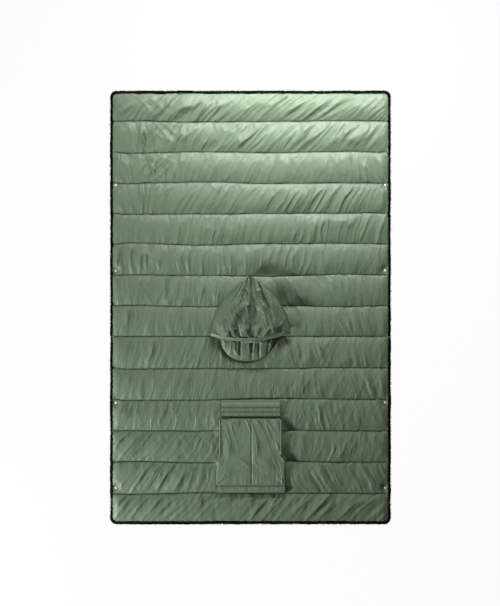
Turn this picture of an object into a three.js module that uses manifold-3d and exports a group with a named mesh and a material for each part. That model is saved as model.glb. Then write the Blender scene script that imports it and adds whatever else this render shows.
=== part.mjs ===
// A hooded, quilted poncho blanket: a nylon shell over wadding in channels, lined with sherpa fleece,
// with a hood at the neck opening, a zipped hand pocket and press-studs down both sides.
// Millimetres, +Z up. It lies flat with the shell up; the origin is the middle of the underside.
// +Y points to the back hem, where the hood's peak points, and +X is across the blanket.
import * as THREE from 'three';
import { mergeVertices } from 'three/addons/utils/BufferGeometryUtils.js';
import Module from 'manifold-3d';

const wasm = await Module();
wasm.setup();

// ---------- driving dimensions ----------
const gap = 0.3;                       // between pieces that touch
const blanket = { width: 1400, length: 2165, corner: 30, border: 20 };
const shoulder = { y: -145, gap: 0.2 };   // fold line between back and front, and half its gap
const quilt = { backChannels: 8, frontChannels: 6, hemChannel: 133, steps: 6 };
const lining = { thickness: 6 };
const batt = { edge: 2, loft: 26, seamGap: 1, sideRun: 65, inset: 25, crowd: 2.2 };
const shell = { thickness: 1 };
const edging = { height: 13 };
const neck = { x: -15, halfWidth: 128, front: 118, back: 70, binding: 3.5, bindingHeight: 24 };
const chin = { overlap: 9, tuck: 4, thickness: 5.5, bevel: 2 };
const hood = {
  halfWidth: 200, peakY: 155, mouthY: -153, mouthSag: 33, taper: 0.78, edgeHeight: 10, rise: 54,
  skin: 2, fleece: 5, napeSkin: 1.2, napeInset: 3, hollow: 0.85, neckInset: 25,
  bandWidth: 15, bandDepth: 9, bandProud: 0.5,
};
const facing = { x: 2, halfWidth: 52, width: 12, top: 4, thickness: 5 };
const pocket = {
  halfWidth: 150, flareHalfWidth: 174, flareStart: 187, flareRun: 30, lift: 12, cloth: 2.5,
  belowSeam: 3, yoke: 40, pleat: 22, placket: 21, hem: 38, hemShort: 2, binding: 8, bindingProud: 1,
  bindingShort: 6,
};
const zip = {
  inset: 10, tape: 1, tapeWidth: 11.5, tapePast: 6, tapeFromMiddle: 0.5, coilHalf: 2.7, coilHeight: 3,
  stop: 3, placketClear: 4.5, panelClear: 4.7,
};
const slider = {
  fromEnd: 12, length: 14, half: 4, wall: 0.9, running: 0.4, plate: 1.4, archHeight: 3.6, archHalf: 1.5,
  archReach: 3.7, bridge: 1, foot: 3, footHalf: 0.7,
};
const pull = { pin: 0.8, pinClear: 0.4, arm: 1.3, armClear: 0.4, reach: 8, tab: 17, tabHalf: 3.6 };
const stud = {
  inset: 27, nearOffset: 330, hemInset: 161.5, cap: 6.25, capHeight: 2.4, radius: 6, height: 5, play: 0.5,
  hole: 2.6, holeDepth: 2.4, ball: 2.1, ballHeight: 2.2,
};

// ---------- places worked out from them ----------
const halfWidth = blanket.width / 2;
const inner = { x: halfWidth - blanket.border, y: blanket.length / 2 - blanket.border };
const battHalf = inner.x - batt.inset;
const zBatt = lining.thickness + gap;
const zSeam = zBatt + batt.edge + gap;                    // underside of the shell at a seam
const zOn = zSeam + batt.loft + shell.thickness + gap;    // where a piece laid on the shell sits
const zOverTape = zOn + zip.tape + gap;
const halves = {
  back: { sign: 1, channels: quilt.backChannels, length: inner.y - shoulder.y },
  front: { sign: -1, channels: quilt.frontChannels, length: inner.y + shoulder.y },
};
for (const half of Object.values(halves)) {
  half.pitch = (half.length - quilt.hemChannel) / (half.channels - 1);
  half.at = (distance) => shoulder.y + half.sign * distance;   // distance from the fold line
  half.seam = (index) => (index < half.channels ? index * half.pitch : half.length - gap);
}
const yokeTop = halves.front.at(halves.front.seam(2)) - pocket.belowSeam;
const placketTop = yokeTop - pocket.yoke - pocket.pleat;
const zipY = placketTop - pocket.placket - zip.placketClear;
const zipHalf = pocket.halfWidth - zip.inset;
const sliderX = slider.fromEnd - zipHalf;
const pocketBottom = halves.front.at(halves.front.seam(5)) + pocket.hem;

// ---------- materials ----------
const cloth = (color, roughness) => new THREE.MeshStandardMaterial({ color, roughness, metalness: 0 });
const metal = (color, roughness) => new THREE.MeshStandardMaterial({ color, roughness, metalness: 0.9 });
const finish = {
  nylon: cloth(0x61705d, 0.42),
  trim: cloth(0x7f917a, 0.5),
  fleece: cloth(0x0b0b0b, 0.95),
  wadding: cloth(0xe9e8e2, 0.9),
  tape: cloth(0x2c362a, 0.7),
  coil: cloth(0x20271f, 0.45),
  pearl: cloth(0xf0f0e2, 0.25),
  steel: metal(0x6d6f70, 0.35),
};

const blanketGroup = new THREE.Group();
function add(name, geometry, material) {
  const mesh = new THREE.Mesh(geometry, material);
  mesh.name = name;
  blanketGroup.add(mesh);
}

// ---------- geometry helpers ----------
function solidOf(geometry) {
  const bare = geometry.clone();
  bare.deleteAttribute('normal');
  bare.deleteAttribute('uv');
  const merged = mergeVertices(bare, 1e-4);
  return new wasm.Manifold(new wasm.Mesh({
    numProp: 3,
    vertProperties: Float32Array.from(merged.attributes.position.array),
    triVerts: Uint32Array.from(merged.index.array),
  }));
}

function geometryOf(solid) {
  const mesh = solid.getMesh();
  const geometry = new THREE.BufferGeometry();
  geometry.setAttribute('position', new THREE.BufferAttribute(mesh.vertProperties, 3));
  geometry.setIndex(new THREE.BufferAttribute(mesh.triVerts, 1));
  geometry.computeVertexNormals();
  return geometry;
}

// A box of nx by ny cells whose corners are placed by a rule: u runs -1 to 1, v 0 to 1, top is true above.
function quiltedBox(nx, ny, place) {
  const geometry = new THREE.BoxGeometry(1, 1, 1, nx, ny, 1);
  const position = geometry.attributes.position;
  for (let i = 0; i < position.count; i += 1) {
    const u = position.getX(i) * 2;
    const v = position.getY(i) + 0.5;
    position.setXYZ(i, ...place(u, v, position.getZ(i) > 0));
  }
  geometry.computeVertexNormals();
  return geometry;
}

function prism(shape, z0, z1, segments = 12) {
  const options = { depth: z1 - z0, bevelEnabled: false, curveSegments: segments };
  return new THREE.ExtrudeGeometry(shape, options).translate(0, 0, z0);
}

function block(x0, x1, y0, y1, z0, z1) {
  return new THREE.BoxGeometry(x1 - x0, y1 - y0, z1 - z0)
    .translate((x0 + x1) / 2, (y0 + y1) / 2, (z0 + z1) / 2);
}

function joined(pieces) {
  return geometryOf(pieces.map(solidOf).reduce((whole, piece) => whole.add(piece)));
}

// Traces the three free sides of one half, from the left end of the fold line to the right end.
function traceHalf(shape, half, x, length, radius) {
  shape.lineTo(-x, half.at(length - radius));
  shape.quadraticCurveTo(-x, half.at(length), -x + radius, half.at(length));
  shape.lineTo(x - radius, half.at(length));
  shape.quadraticCurveTo(x, half.at(length), x, half.at(length - radius));
  shape.lineTo(x, half.at(shoulder.gap));
}

function halfOutline(half) {
  const shape = new THREE.Shape();
  shape.moveTo(-inner.x + gap, half.at(shoulder.gap));
  traceHalf(shape, half, inner.x - gap, half.length - gap, blanket.corner - blanket.border);
  return shape;
}

function neckOutline(grow) {
  const shape = new THREE.Shape();
  const across = neck.halfWidth + grow;
  shape.absellipse(neck.x, shoulder.y, across, neck.front + grow, Math.PI, 2 * Math.PI, false);
  shape.absellipse(neck.x, shoulder.y, across, neck.back + grow, 0, Math.PI, false);
  return shape;
}

const neckCut = solidOf(prism(neckOutline(neck.binding + gap), -10, zOn + 10, 16));

// ---------- quilted panels ----------
// Stations across crowd towards the side, where the channel closes.
const station = (share) => battHalf * (1 - (1 - share) ** batt.crowd);

function sideShare(x) {
  const run = Math.max(0, Math.abs(x) - (battHalf - batt.sideRun)) / batt.sideRun;
  return Math.sqrt(Math.max(0, 1 - run * run));
}

function shellUnderside(x, arch) {
  const away = Math.abs(x) - battHalf;
  const edgeX = inner.x - gap;
  if (away <= 0) return zSeam + batt.loft * arch * sideShare(x);
  return THREE.MathUtils.lerp(zSeam, lining.thickness + 2 * gap, away / (edgeX - battHalf));
}

// The distance from the fold line, and the arch of the channel, at one step across a channel.
function rowOf(half, channel, step, inset = 0) {
  const angle = (Math.PI * step) / quilt.steps;
  const from = Math.max(half.seam(channel), shoulder.gap);
  const to = half.seam(channel + 1);
  const reach = (to - from) / 2 - inset;
  return { distance: (from + to) / 2 - reach * Math.cos(angle), arch: Math.sin(angle) };
}

// Everything under the shell's outside, less a depth, down to a level.
function quiltDome(half, depth, floor) {
  const rows = half.channels * quilt.steps;
  return solidOf(quiltedBox(10, rows, (u, v, top) => {
    const share = Math.abs(u) / 0.8;
    const x = Math.sign(u) * (share > 1.01 ? inner.x - gap : station(Math.min(share, 1)));
    const row = Math.round((half.sign > 0 ? v : 1 - v) * rows);
    const channel = Math.min(Math.floor(row / quilt.steps), half.channels - 1);
    const { distance, arch } = rowOf(half, channel, row - channel * quilt.steps);
    return [x, half.at(distance), top ? shellUnderside(x, arch) + shell.thickness - depth : floor];
  }));
}

function addShell(name, half) {
  const skin = quiltDome(half, 0, 0).subtract(quiltDome(half, shell.thickness, -1));
  const trimmed = skin.intersect(solidOf(prism(halfOutline(half), 0, zOn, 4)));
  add(name, geometryOf(trimmed.subtract(neckCut)), finish.nylon);
}

function addWadding(half, channel, number) {
  const pad = quiltedBox(8, quilt.steps, (u, v, top) => {
    const x = Math.sign(u) * station(Math.abs(u));
    const step = Math.round((half.sign > 0 ? v : 1 - v) * quilt.steps);
    const { distance, arch } = rowOf(half, channel, step, batt.seamGap);
    const height = batt.edge + batt.loft * arch * sideShare(x);
    return [x, half.at(distance), zBatt + (top ? height : 0)];
  });
  const name = `insulation_${String(number).padStart(2, '0')}`;
  const byNeck = channel === 0;
  add(name, byNeck ? geometryOf(solidOf(pad).subtract(neckCut)) : pad, finish.wadding);
}

function studPlaces(half) {
  const offsets = [stud.nearOffset, halves.front.length - stud.hemInset];
  return offsets.flatMap((offset) => [-1, 1].map((side) => ({
    x: side * (halfWidth - stud.inset), y: half.at(offset),
  })));
}

function addLining(name, half) {
  const outline = halfOutline(half);
  for (const place of studPlaces(half)) {
    const hole = new THREE.Path();
    hole.absarc(place.x, place.y, stud.radius + stud.play, 0, 2 * Math.PI, false);
    outline.holes.push(hole);
  }
  const sheet = solidOf(prism(outline, 0, lining.thickness, 6));
  add(name, geometryOf(sheet.subtract(neckCut)), finish.fleece);
}

function addEdging(name, half) {
  const shape = new THREE.Shape();
  shape.moveTo(-halfWidth, half.at(shoulder.gap));
  traceHalf(shape, half, halfWidth, half.length + blanket.border, blanket.corner);
  const corner = blanket.corner - blanket.border;
  shape.lineTo(inner.x, half.at(shoulder.gap));
  shape.lineTo(inner.x, half.at(half.length - corner));
  shape.quadraticCurveTo(inner.x, half.at(half.length), inner.x - corner, half.at(half.length));
  shape.lineTo(-inner.x + corner, half.at(half.length));
  shape.quadraticCurveTo(-inner.x, half.at(half.length), -inner.x, half.at(half.length - corner));
  shape.lineTo(-inner.x, half.at(shoulder.gap));
  add(name, prism(shape, 0, edging.height, 6), finish.fleece);
}

addShell('back_shell', halves.back);
addShell('front_shell', halves.front);
for (let i = 0; i < quilt.backChannels; i += 1) addWadding(halves.back, quilt.backChannels - 1 - i, i + 1);
for (let i = 0; i < quilt.frontChannels; i += 1) addWadding(halves.front, i, quilt.backChannels + i + 1);
addLining('back_fleece_lining', halves.back);
addLining('front_fleece_lining', halves.front);
addEdging('back_fleece_edging', halves.back);
addEdging('front_fleece_edging', halves.front);

// ---------- neck ----------
function addNeckBinding(name, half, depth) {
  const shape = new THREE.Shape();
  const y = half.at(shoulder.gap);
  const [from, to] = half.sign > 0 ? [0, Math.PI] : [Math.PI, 2 * Math.PI];
  const outer = neck.halfWidth + neck.binding;
  shape.absellipse(neck.x, y, outer, depth + neck.binding, from, to, false);
  shape.absellipse(neck.x, y, neck.halfWidth, depth, to, from, true);
  add(name, prism(shape, gap, neck.bindingHeight, 16), finish.tape);
}

addNeckBinding('neck_binding_back', halves.back, neck.back);
addNeckBinding('neck_binding_front', halves.front, neck.front);

function addChinPiece() {
  const across = neck.halfWidth + chin.overlap;
  const depth = neck.front + chin.overlap;
  const tuckAngle = Math.asin(chin.tuck / depth);
  const shape = new THREE.Shape();
  shape.absellipse(neck.x, shoulder.y, across, depth, Math.PI + tuckAngle, 2 * Math.PI - tuckAngle, false);
  const options = {
    depth: chin.thickness - 2 * chin.bevel, bevelThickness: chin.bevel, bevelSize: chin.bevel,
    bevelOffset: -chin.bevel, bevelSegments: 1, curveSegments: 20,
  };
  const pad = new THREE.ExtrudeGeometry(shape, options);
  add('chin_piece', pad.translate(0, 0, zOn + chin.bevel), finish.nylon);
}

addChinPiece();

// ---------- hood ----------
const mouthEdge = (x) => hood.mouthY + hood.mouthSag * (x / hood.halfWidth) ** 2;
const hoodLength = hood.peakY - mouthEdge(hood.halfWidth);

function hoodHalfWidth(y) {
  const share = THREE.MathUtils.clamp((hood.peakY - y) / hoodLength, 0.004, 1);
  return hood.halfWidth * Math.sin((Math.PI / 2) * share) ** hood.taper;
}

// u runs across, v from the mouth to the peak.
function hoodPlace(u, v) {
  const y = THREE.MathUtils.lerp(mouthEdge(u * hood.halfWidth), hood.peakY, v);
  const across = Math.max(0, 1 - Math.abs(u) ** 2.2) ** 0.6;
  const along = 0.75 + 1.1 * v - 1.72 * v * v;
  const top = zOn + hood.edgeHeight + hood.rise * across * Math.max(along, 0.1);
  return { x: u * hoodHalfWidth(y), y, top };
}

// Everything under the hood's outside, less a depth, down to a level.
function hoodDome(depth, floor) {
  return solidOf(quiltedBox(12, 10, (u, v, top) => {
    const place = hoodPlace(u, v);
    return [place.x, place.y, top ? place.top - depth : floor];
  }));
}

function addHoodPanels() {
  const skin = hoodDome(0, zOn).subtract(hoodDome(hood.skin, zOn - 1));
  const reach = hood.halfWidth + 10;
  for (const [name, side] of [['hood_left_panel', -1], ['hood_right_panel', 1]]) {
    const far = side * reach;
    const near = (side * gap) / 2;
    const space = block(Math.min(near, far), Math.max(near, far), hood.mouthY - reach, hood.peakY + 1,
      0, zOn + hood.edgeHeight + hood.rise * 2);
    add(name, geometryOf(skin.intersect(solidOf(space))), finish.nylon);
  }
}

function addHoodNape() {
  const start = shoulder.y + neck.back;
  const panel = quiltedBox(6, 8, (u, v, top) => {
    const y = THREE.MathUtils.lerp(start, hood.peakY - hood.napeInset, v);
    return [u * (hoodHalfWidth(y) - hood.napeInset), y, zOn + (top ? hood.napeSkin : 0)];
  });
  add('hood_nape_panel', panel, finish.nylon);
}

function addHoodLining() {
  const floor = zOn + hood.napeSkin + gap;
  const hollow = quiltedBox(12, 10, (u, v, top) => {
    const place = hoodPlace(u * hood.hollow, v * hood.hollow);
    const y = v === 0 ? place.y - hood.skin : place.y;
    return [place.x, y, top ? place.top - hood.skin - gap - hood.fleece : floor + hood.fleece];
  });
  const neckSide = hood.halfWidth - hood.neckInset;
  const neckEdge = block(-neckSide, neckSide, hood.mouthY - hood.mouthSag, shoulder.y + neck.back,
    floor - 1, floor + hood.fleece + 1);
  const pouch = hoodDome(hood.skin + gap, floor).subtract(solidOf(hollow)).subtract(solidOf(neckEdge));
  add('hood_fleece_lining', geometryOf(pouch), finish.fleece);
}

function addHoodBand() {
  const band = quiltedBox(16, 1, (u, v, top) => {
    const edge = hoodPlace(u, 0);
    const y = edge.y - gap - (1 - v) * (hood.bandWidth - gap);
    return [edge.x, y, edge.top + (top ? hood.bandProud : -hood.bandDepth)];
  });
  add('hood_rim_band', band, finish.trim);
}

function addHoodFacing() {
  const strip = quiltedBox(8, 1, (u, v, top) => {
    const x = facing.x + u * facing.halfWidth;
    const edge = hoodPlace(x / hood.halfWidth, 0);
    const front = edge.y - hood.bandWidth - gap;
    const z = edge.top - facing.top - (top ? 0 : facing.thickness);
    return [x, front - (1 - v) * facing.width, z];
  });
  add('hood_rim_facing', strip, finish.trim);
}

addHoodPanels();
addHoodNape();
addHoodLining();
addHoodBand();
addHoodFacing();

// ---------- pocket ----------
function addStrip(name, top, height, z) {
  const geometry = block(-pocket.halfWidth, pocket.halfWidth, top - height, top, z, z + pocket.cloth);
  add(name, geometry, finish.nylon);
}

addStrip('pocket_yoke', yokeTop, pocket.yoke - gap, zOn);
addStrip('pocket_pleat', placketTop + pocket.pleat, pocket.pleat - gap, zOn);
addStrip('pocket_zip_placket', placketTop, pocket.placket - gap, zOverTape);

const panelTop = zipY - zip.panelClear;
const flareTop = zipY - pocket.flareStart;
const pocketRows = { low: 4, total: 14 };
function pocketHalfWidth(y) {
  const share = THREE.MathUtils.clamp((flareTop - y) / pocket.flareRun, 0, 1);
  return THREE.MathUtils.lerp(pocket.halfWidth, pocket.flareHalfWidth, share);
}

// The panel stands clear of the shell, is open at the sides above the flare, and is sewn down below it.
function pocketLift(u, y) {
  const along = Math.sin((Math.PI * (panelTop - y)) / (panelTop - pocketBottom)) ** 0.4;
  const sewn = THREE.MathUtils.clamp((flareTop - y) / pocket.flareRun, 0, 1);
  const across = Math.sqrt(Math.max(0, 1 - u ** 4));
  return pocket.lift * (Number.isFinite(along) ? along : 0) * THREE.MathUtils.lerp(1, across, sewn);
}

// Rows of the panel: a few below the flare, one across it and the rest above it.
function pocketRow(v) {
  const row = Math.round(v * pocketRows.total);
  const flareBottom = flareTop - pocket.flareRun;
  if (row <= pocketRows.low) {
    return THREE.MathUtils.lerp(pocketBottom + gap, flareBottom, row / pocketRows.low);
  }
  const above = pocketRows.total - pocketRows.low - 1;
  return THREE.MathUtils.lerp(flareTop, panelTop, (row - pocketRows.low - 1) / above);
}

// Everything under the panel's outside, less a depth, down to a level.
function pocketDome(depth, floor) {
  return solidOf(quiltedBox(8, pocketRows.total, (u, v, top) => {
    const y = pocketRow(v);
    return [u * pocketHalfWidth(y), y, top ? zOverTape + pocketLift(u, y) + pocket.cloth - depth : floor];
  }));
}

function addPocketPanel() {
  const panel = pocketDome(0, 0).subtract(pocketDome(pocket.cloth, -1));
  add('pocket_panel', geometryOf(panel), finish.nylon);
  add('pocket_hem', block(-pocket.flareHalfWidth, pocket.flareHalfWidth,
    pocketBottom - pocket.hem + pocket.hemShort, pocketBottom, zOn, zOn + pocket.cloth), finish.nylon);
}

// Each hand opening's edge is bound: the binding butts on the panel's side edge.
function addPocketBinding(name, side) {
  const strip = quiltedBox(1, 8, (u, v, top) => {
    const y = THREE.MathUtils.lerp(flareTop + gap, panelTop - pocket.bindingShort, v);
    const from = pocket.halfWidth + gap;
    const x = side * (from + ((side * u + 1) / 2) * pocket.binding);
    const z = zOverTape + pocketLift(1, y);
    return [x, y, top ? z + pocket.cloth + pocket.bindingProud : z - pocket.bindingProud];
  });
  add(name, strip, finish.trim);
}

addPocketPanel();
addPocketBinding('pocket_binding_left', -1);
addPocketBinding('pocket_binding_right', 1);

// ---------- zip ----------
function addZip() {
  const tapeHalf = zipHalf + zip.tapePast;
  const near = zip.tapeFromMiddle;
  add('zip_tape_upper', block(-tapeHalf, tapeHalf, zipY + near, zipY + zip.tapeWidth, zOn, zOn + zip.tape),
    finish.tape);
  add('zip_tape_lower', block(-tapeHalf, tapeHalf, zipY - zip.tapeWidth, zipY - near, zOn, zOn + zip.tape),
    finish.tape);
  const top = zOverTape + zip.coilHeight;
  add('zip_coil', block(-zipHalf, zipHalf, zipY - zip.coilHalf, zipY + zip.coilHalf, zOverTape, top),
    finish.coil);
  for (const [name, side] of [['zip_stop_left', -1], ['zip_stop_right', 1]]) {
    const from = side * (zipHalf + gap);
    const to = side * (zipHalf + gap + zip.stop);
    add(name, block(Math.min(from, to), Math.max(from, to), zipY - zip.coilHalf, zipY + zip.coilHalf,
      zOverTape, top), finish.steel);
  }
  return top;
}

const coilTop = addZip();
const plateZ = coilTop + slider.running;
const deckZ = plateZ + slider.plate;
const pinZ = deckZ + gap + pull.pin + pull.pinClear;

// The slider's plate has a flange down each side of the coil and an arch on top for the pull's pin.
function addSlider() {
  const half = slider.length / 2;
  const archY = [zipY - slider.archHalf, zipY + slider.archHalf];
  const archTop = deckZ + slider.archHeight;
  const sink = 0.1;
  const body = [
    block(sliderX - half, sliderX + half, zipY - slider.half, zipY + slider.half, plateZ, deckZ),
    block(sliderX - slider.archReach, sliderX + slider.archReach, ...archY, archTop - slider.bridge, archTop),
  ];
  for (const side of [-1, 1]) {
    const inside = zipY + side * (slider.half - slider.wall);
    const outside = zipY + side * slider.half;
    body.push(block(sliderX - half, sliderX + half, Math.min(inside, outside), Math.max(inside, outside),
      zOverTape + sink, plateZ + sink));
    const foot = sliderX + side * slider.foot;
    body.push(block(foot - slider.footHalf, foot + slider.footHalf, ...archY, deckZ - sink, archTop));
  }
  add('zip_slider', joined(body), finish.steel);
}

function addPull() {
  const armIn = slider.archHalf + pull.armClear;
  const armOut = armIn + pull.arm;
  const sink = 0.1;
  const pin = new THREE.CylinderGeometry(pull.pin, pull.pin, 2 * (armOut - 2 * sink), 12);
  const body = [pin.translate(sliderX, zipY, pinZ)];
  for (const side of [-1, 1]) {
    const y0 = zipY + side * armIn;
    const y1 = zipY + side * armOut;
    body.push(block(sliderX - pull.pin, sliderX + pull.reach + 5 * sink, Math.min(y0, y1), Math.max(y0, y1),
      pinZ - pull.pin, pinZ + pull.pin));
  }
  body.push(block(sliderX + pull.reach, sliderX + pull.reach + pull.tab,
    zipY - pull.tabHalf, zipY + pull.tabHalf, pinZ - pull.pin + sink, pinZ + pull.pin - sink));
  add('zip_pull', joined(body), finish.steel);
}

addSlider();
addPull();

// ---------- press-studs ----------
function lathe(points, segments = 16) {
  return new THREE.LatheGeometry(points.map(([r, z]) => new THREE.Vector2(r, z)), segments)
    .rotateX(Math.PI / 2);
}

function addStuds(prefix, half, fitting) {
  const places = studPlaces(half);
  const names = ['near_left', 'near_right', 'hem_left', 'hem_right'];
  places.forEach((place, index) => {
    const under = shellUnderside(Math.abs(place.x) - stud.cap, 0);
    const capZ = under + shell.thickness + gap;
    const cap = lathe([[0, 0], [stud.cap, 0], [stud.cap, stud.capHeight * 0.35],
      [stud.cap * 0.8, stud.capHeight * 0.85], [0, stud.capHeight]]);
    add(`${prefix}_cap_${names[index]}`, cap.translate(place.x, place.y, capZ), finish.pearl);
    const seat = lining.thickness - stud.height;
    const profile = fitting === 'socket'
      ? [[0, stud.holeDepth], [stud.hole, stud.holeDepth], [stud.hole, 0], [stud.radius, 0]]
      : [[0, 0], [stud.ball, 0], [stud.ball, stud.ballHeight], [stud.radius, stud.ballHeight]];
    const ring = lathe([...profile, [stud.radius, stud.height], [0, stud.height]]);
    add(`${prefix}_${fitting}_${names[index]}`, ring.translate(place.x, place.y, seat), finish.steel);
  });
}

addStuds('back', halves.back, 'socket');
addStuds('front', halves.front, 'stud');

export default blanketGroup;
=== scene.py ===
# Looks for the hooded quilted poncho blanket: nylon quilting, sherpa fleece, hood, pocket, zip and studs.
# Metres, +Z up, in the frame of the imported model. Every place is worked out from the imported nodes' boxes.
import math

import bpy
import numpy as np
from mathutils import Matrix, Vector


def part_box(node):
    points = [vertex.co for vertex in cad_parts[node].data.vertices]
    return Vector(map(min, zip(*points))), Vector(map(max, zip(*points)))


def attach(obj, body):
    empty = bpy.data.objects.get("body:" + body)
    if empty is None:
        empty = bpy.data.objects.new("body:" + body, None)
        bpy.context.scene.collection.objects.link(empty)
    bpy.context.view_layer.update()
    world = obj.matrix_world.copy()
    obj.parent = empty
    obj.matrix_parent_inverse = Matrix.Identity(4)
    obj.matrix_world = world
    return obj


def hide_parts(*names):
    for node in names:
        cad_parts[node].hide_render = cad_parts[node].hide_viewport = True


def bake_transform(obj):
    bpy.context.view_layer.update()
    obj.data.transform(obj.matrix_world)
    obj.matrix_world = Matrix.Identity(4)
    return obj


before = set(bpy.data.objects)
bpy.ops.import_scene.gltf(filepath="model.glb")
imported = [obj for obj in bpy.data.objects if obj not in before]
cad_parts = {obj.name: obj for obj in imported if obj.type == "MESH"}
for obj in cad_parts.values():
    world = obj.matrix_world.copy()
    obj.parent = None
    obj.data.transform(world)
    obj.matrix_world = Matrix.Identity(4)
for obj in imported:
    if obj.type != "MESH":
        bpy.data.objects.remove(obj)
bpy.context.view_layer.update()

MM = 0.001


def deselect():
    bpy.ops.object.select_all(action="DESELECT")


deselect()

# ---------------------------------------------------------------- places from the frame
BACK_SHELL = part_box("back_shell")
FRONT_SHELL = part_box("front_shell")
EDGING_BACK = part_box("back_fleece_edging")
EDGING_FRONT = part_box("front_fleece_edging")
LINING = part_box("back_fleece_lining")
HOOD_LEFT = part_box("hood_left_panel")
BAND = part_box("hood_rim_band")
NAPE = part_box("hood_nape_panel")
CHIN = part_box("chin_piece")
NECK_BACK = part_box("neck_binding_back")
NECK_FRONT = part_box("neck_binding_front")
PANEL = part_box("pocket_panel")
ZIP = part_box("zip_coil")

BACK_CHANNELS = 8
FRONT_CHANNELS = 6
FOLD_Y = (BACK_SHELL[0].y + FRONT_SHELL[1].y) / 2
SHELL_X = BACK_SHELL[1].x
SEAM_Z = LINING[1].z + 3.6 * MM     # top of the shell at a seam
CREST_Z = BACK_SHELL[1].z
REST_Z = NAPE[0].z                  # where a piece laid on the shell sits


def channel_seams():
    """Y of every seam from the back hem to the front hem, halfway between neighbouring batts."""
    seams = [BACK_SHELL[1].y]
    for number in range(1, BACK_CHANNELS + FRONT_CHANNELS):
        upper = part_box(f"insulation_{number:02d}")[0].y
        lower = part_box(f"insulation_{number + 1:02d}")[1].y
        seams.append((upper + lower) / 2)
    seams[BACK_CHANNELS] = FOLD_Y
    seams.append(FRONT_SHELL[0].y)
    return seams


SEAMS = channel_seams()


# ---------------------------------------------------------------- number helpers
def smooth(value, low, high):
    t = np.clip((value - low) / (high - low), 0, 1)
    return t * t * (3 - 2 * t)


def drift(x, y, wave_x, wave_y, seed):
    """Smooth noise from -1 to 1 with its own wavelength each way."""
    rng = np.random.RandomState(seed)
    table = rng.uniform(-1, 1, (64, 64))
    u = np.asarray(x) / wave_x + 13.7
    v = np.asarray(y) / wave_y + 7.3
    i, j = np.floor(u).astype(int), np.floor(v).astype(int)
    s, t = u - i, v - j
    s, t = s * s * (3 - 2 * s), t * t * (3 - 2 * t)
    a, b = table[i % 64, j % 64], table[(i + 1) % 64, j % 64]
    c, d = table[i % 64, (j + 1) % 64], table[(i + 1) % 64, (j + 1) % 64]
    return (a * (1 - s) + b * s) * (1 - t) + (c * (1 - s) + d * s) * t


def crease(x, y, wave_x, wave_y, seed):
    """Sharp ridges between soft hollows, 0 to 1."""
    return (1 - np.abs(drift(x, y, wave_x, wave_y, seed))) ** 3


# ---------------------------------------------------------------- mesh helpers
def read_points(obj):
    flat = np.empty(len(obj.data.vertices) * 3, np.float32)
    obj.data.vertices.foreach_get("co", flat)
    return flat.reshape(-1, 3).astype(float)


def write_points(obj, points):
    obj.data.vertices.foreach_set("co", np.asarray(points, np.float32).ravel())
    obj.data.update()


def cloth_grid(name, columns, rows, place):
    """A grid of cloth whose points are placed by a rule of u and v, both 0 to 1."""
    bpy.ops.mesh.primitive_grid_add(x_subdivisions=columns, y_subdivisions=rows, size=1)
    obj = bpy.context.object
    obj.name = name
    obj.data.name = name
    points = read_points(obj)
    u = np.round((points[:, 0] + 0.5) * columns) / columns
    v = np.round((points[:, 1] + 0.5) * rows) / rows
    write_points(obj, np.stack(np.broadcast_arrays(*place(u, v)), 1))
    deselect()
    return obj


def use(obj):
    deselect()
    obj.select_set(True)
    bpy.context.view_layer.objects.active = obj


def apply_all(obj):
    use(obj)
    for modifier in list(obj.modifiers):
        bpy.ops.object.modifier_apply(modifier=modifier.name)
    deselect()


def thicken(obj, thickness, offset=-1):
    modifier = obj.modifiers.new("Thickness", "SOLIDIFY")
    modifier.thickness = thickness
    modifier.offset = offset
    apply_all(obj)


def shade(obj, angle=None):
    use(obj)
    if angle is None:
        bpy.ops.object.shade_smooth()
    else:
        bpy.ops.object.shade_smooth_by_angle(angle=math.radians(angle))
    deselect()


def paint(obj, material):
    obj.data.materials.clear()
    obj.data.materials.append(material)


def mark(obj, painted_shade, lay):
    """Stores how much painted shade each point takes (most in stitched grooves, along sewn edges and where
    the hood presses), and the places its creases run along.
    """
    # The first attribute holds painted shade, which darkens the colour in the material.
    attribute = obj.data.attributes.new("PaintedShade", "FLOAT", "POINT")
    attribute.data.foreach_set("value", np.asarray(painted_shade, np.float32))
    attribute = obj.data.attributes.new("Lay", "FLOAT_VECTOR", "POINT")
    attribute.data.foreach_set("vector", np.asarray(lay, np.float32).ravel())


def face_outwards(obj):
    use(obj)
    bpy.ops.object.mode_set(mode="EDIT")
    bpy.ops.mesh.select_all(action="SELECT")
    bpy.ops.mesh.normals_make_consistent(inside=False)
    bpy.ops.object.mode_set(mode="OBJECT")
    deselect()


def close_tube(obj, sides, merge=0.00003):
    """Joins a rolled grid along its seam, caps its ends and turns its faces outwards."""
    use(obj)
    bpy.ops.object.mode_set(mode="EDIT")
    bpy.ops.mesh.select_all(action="SELECT")
    bpy.ops.mesh.remove_doubles(threshold=merge)
    bpy.ops.mesh.select_all(action="SELECT")
    bpy.ops.mesh.fill_holes(sides=sides + 2)
    bpy.ops.object.mode_set(mode="OBJECT")
    face_outwards(obj)


def cut_away(obj, chosen):
    """Deletes the chosen points with the faces on them."""
    use(obj)
    bpy.ops.object.mode_set(mode="EDIT")
    bpy.ops.mesh.select_all(action="DESELECT")
    bpy.ops.object.mode_set(mode="OBJECT")
    obj.data.vertices.foreach_set("select", chosen)
    bpy.ops.object.mode_set(mode="EDIT")
    bpy.ops.mesh.delete(type="VERT")
    bpy.ops.object.mode_set(mode="OBJECT")
    deselect()


def join(name, parts):
    deselect()
    for part in parts:
        part.select_set(True)
    bpy.context.view_layer.objects.active = parts[0]
    bpy.ops.object.join()
    whole = bpy.context.object
    whole.name = name
    whole.data.name = name
    deselect()
    return whole


def settle_place(obj):
    use(obj)
    bpy.ops.object.transform_apply(location=True, rotation=True, scale=True)
    deselect()


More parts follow.
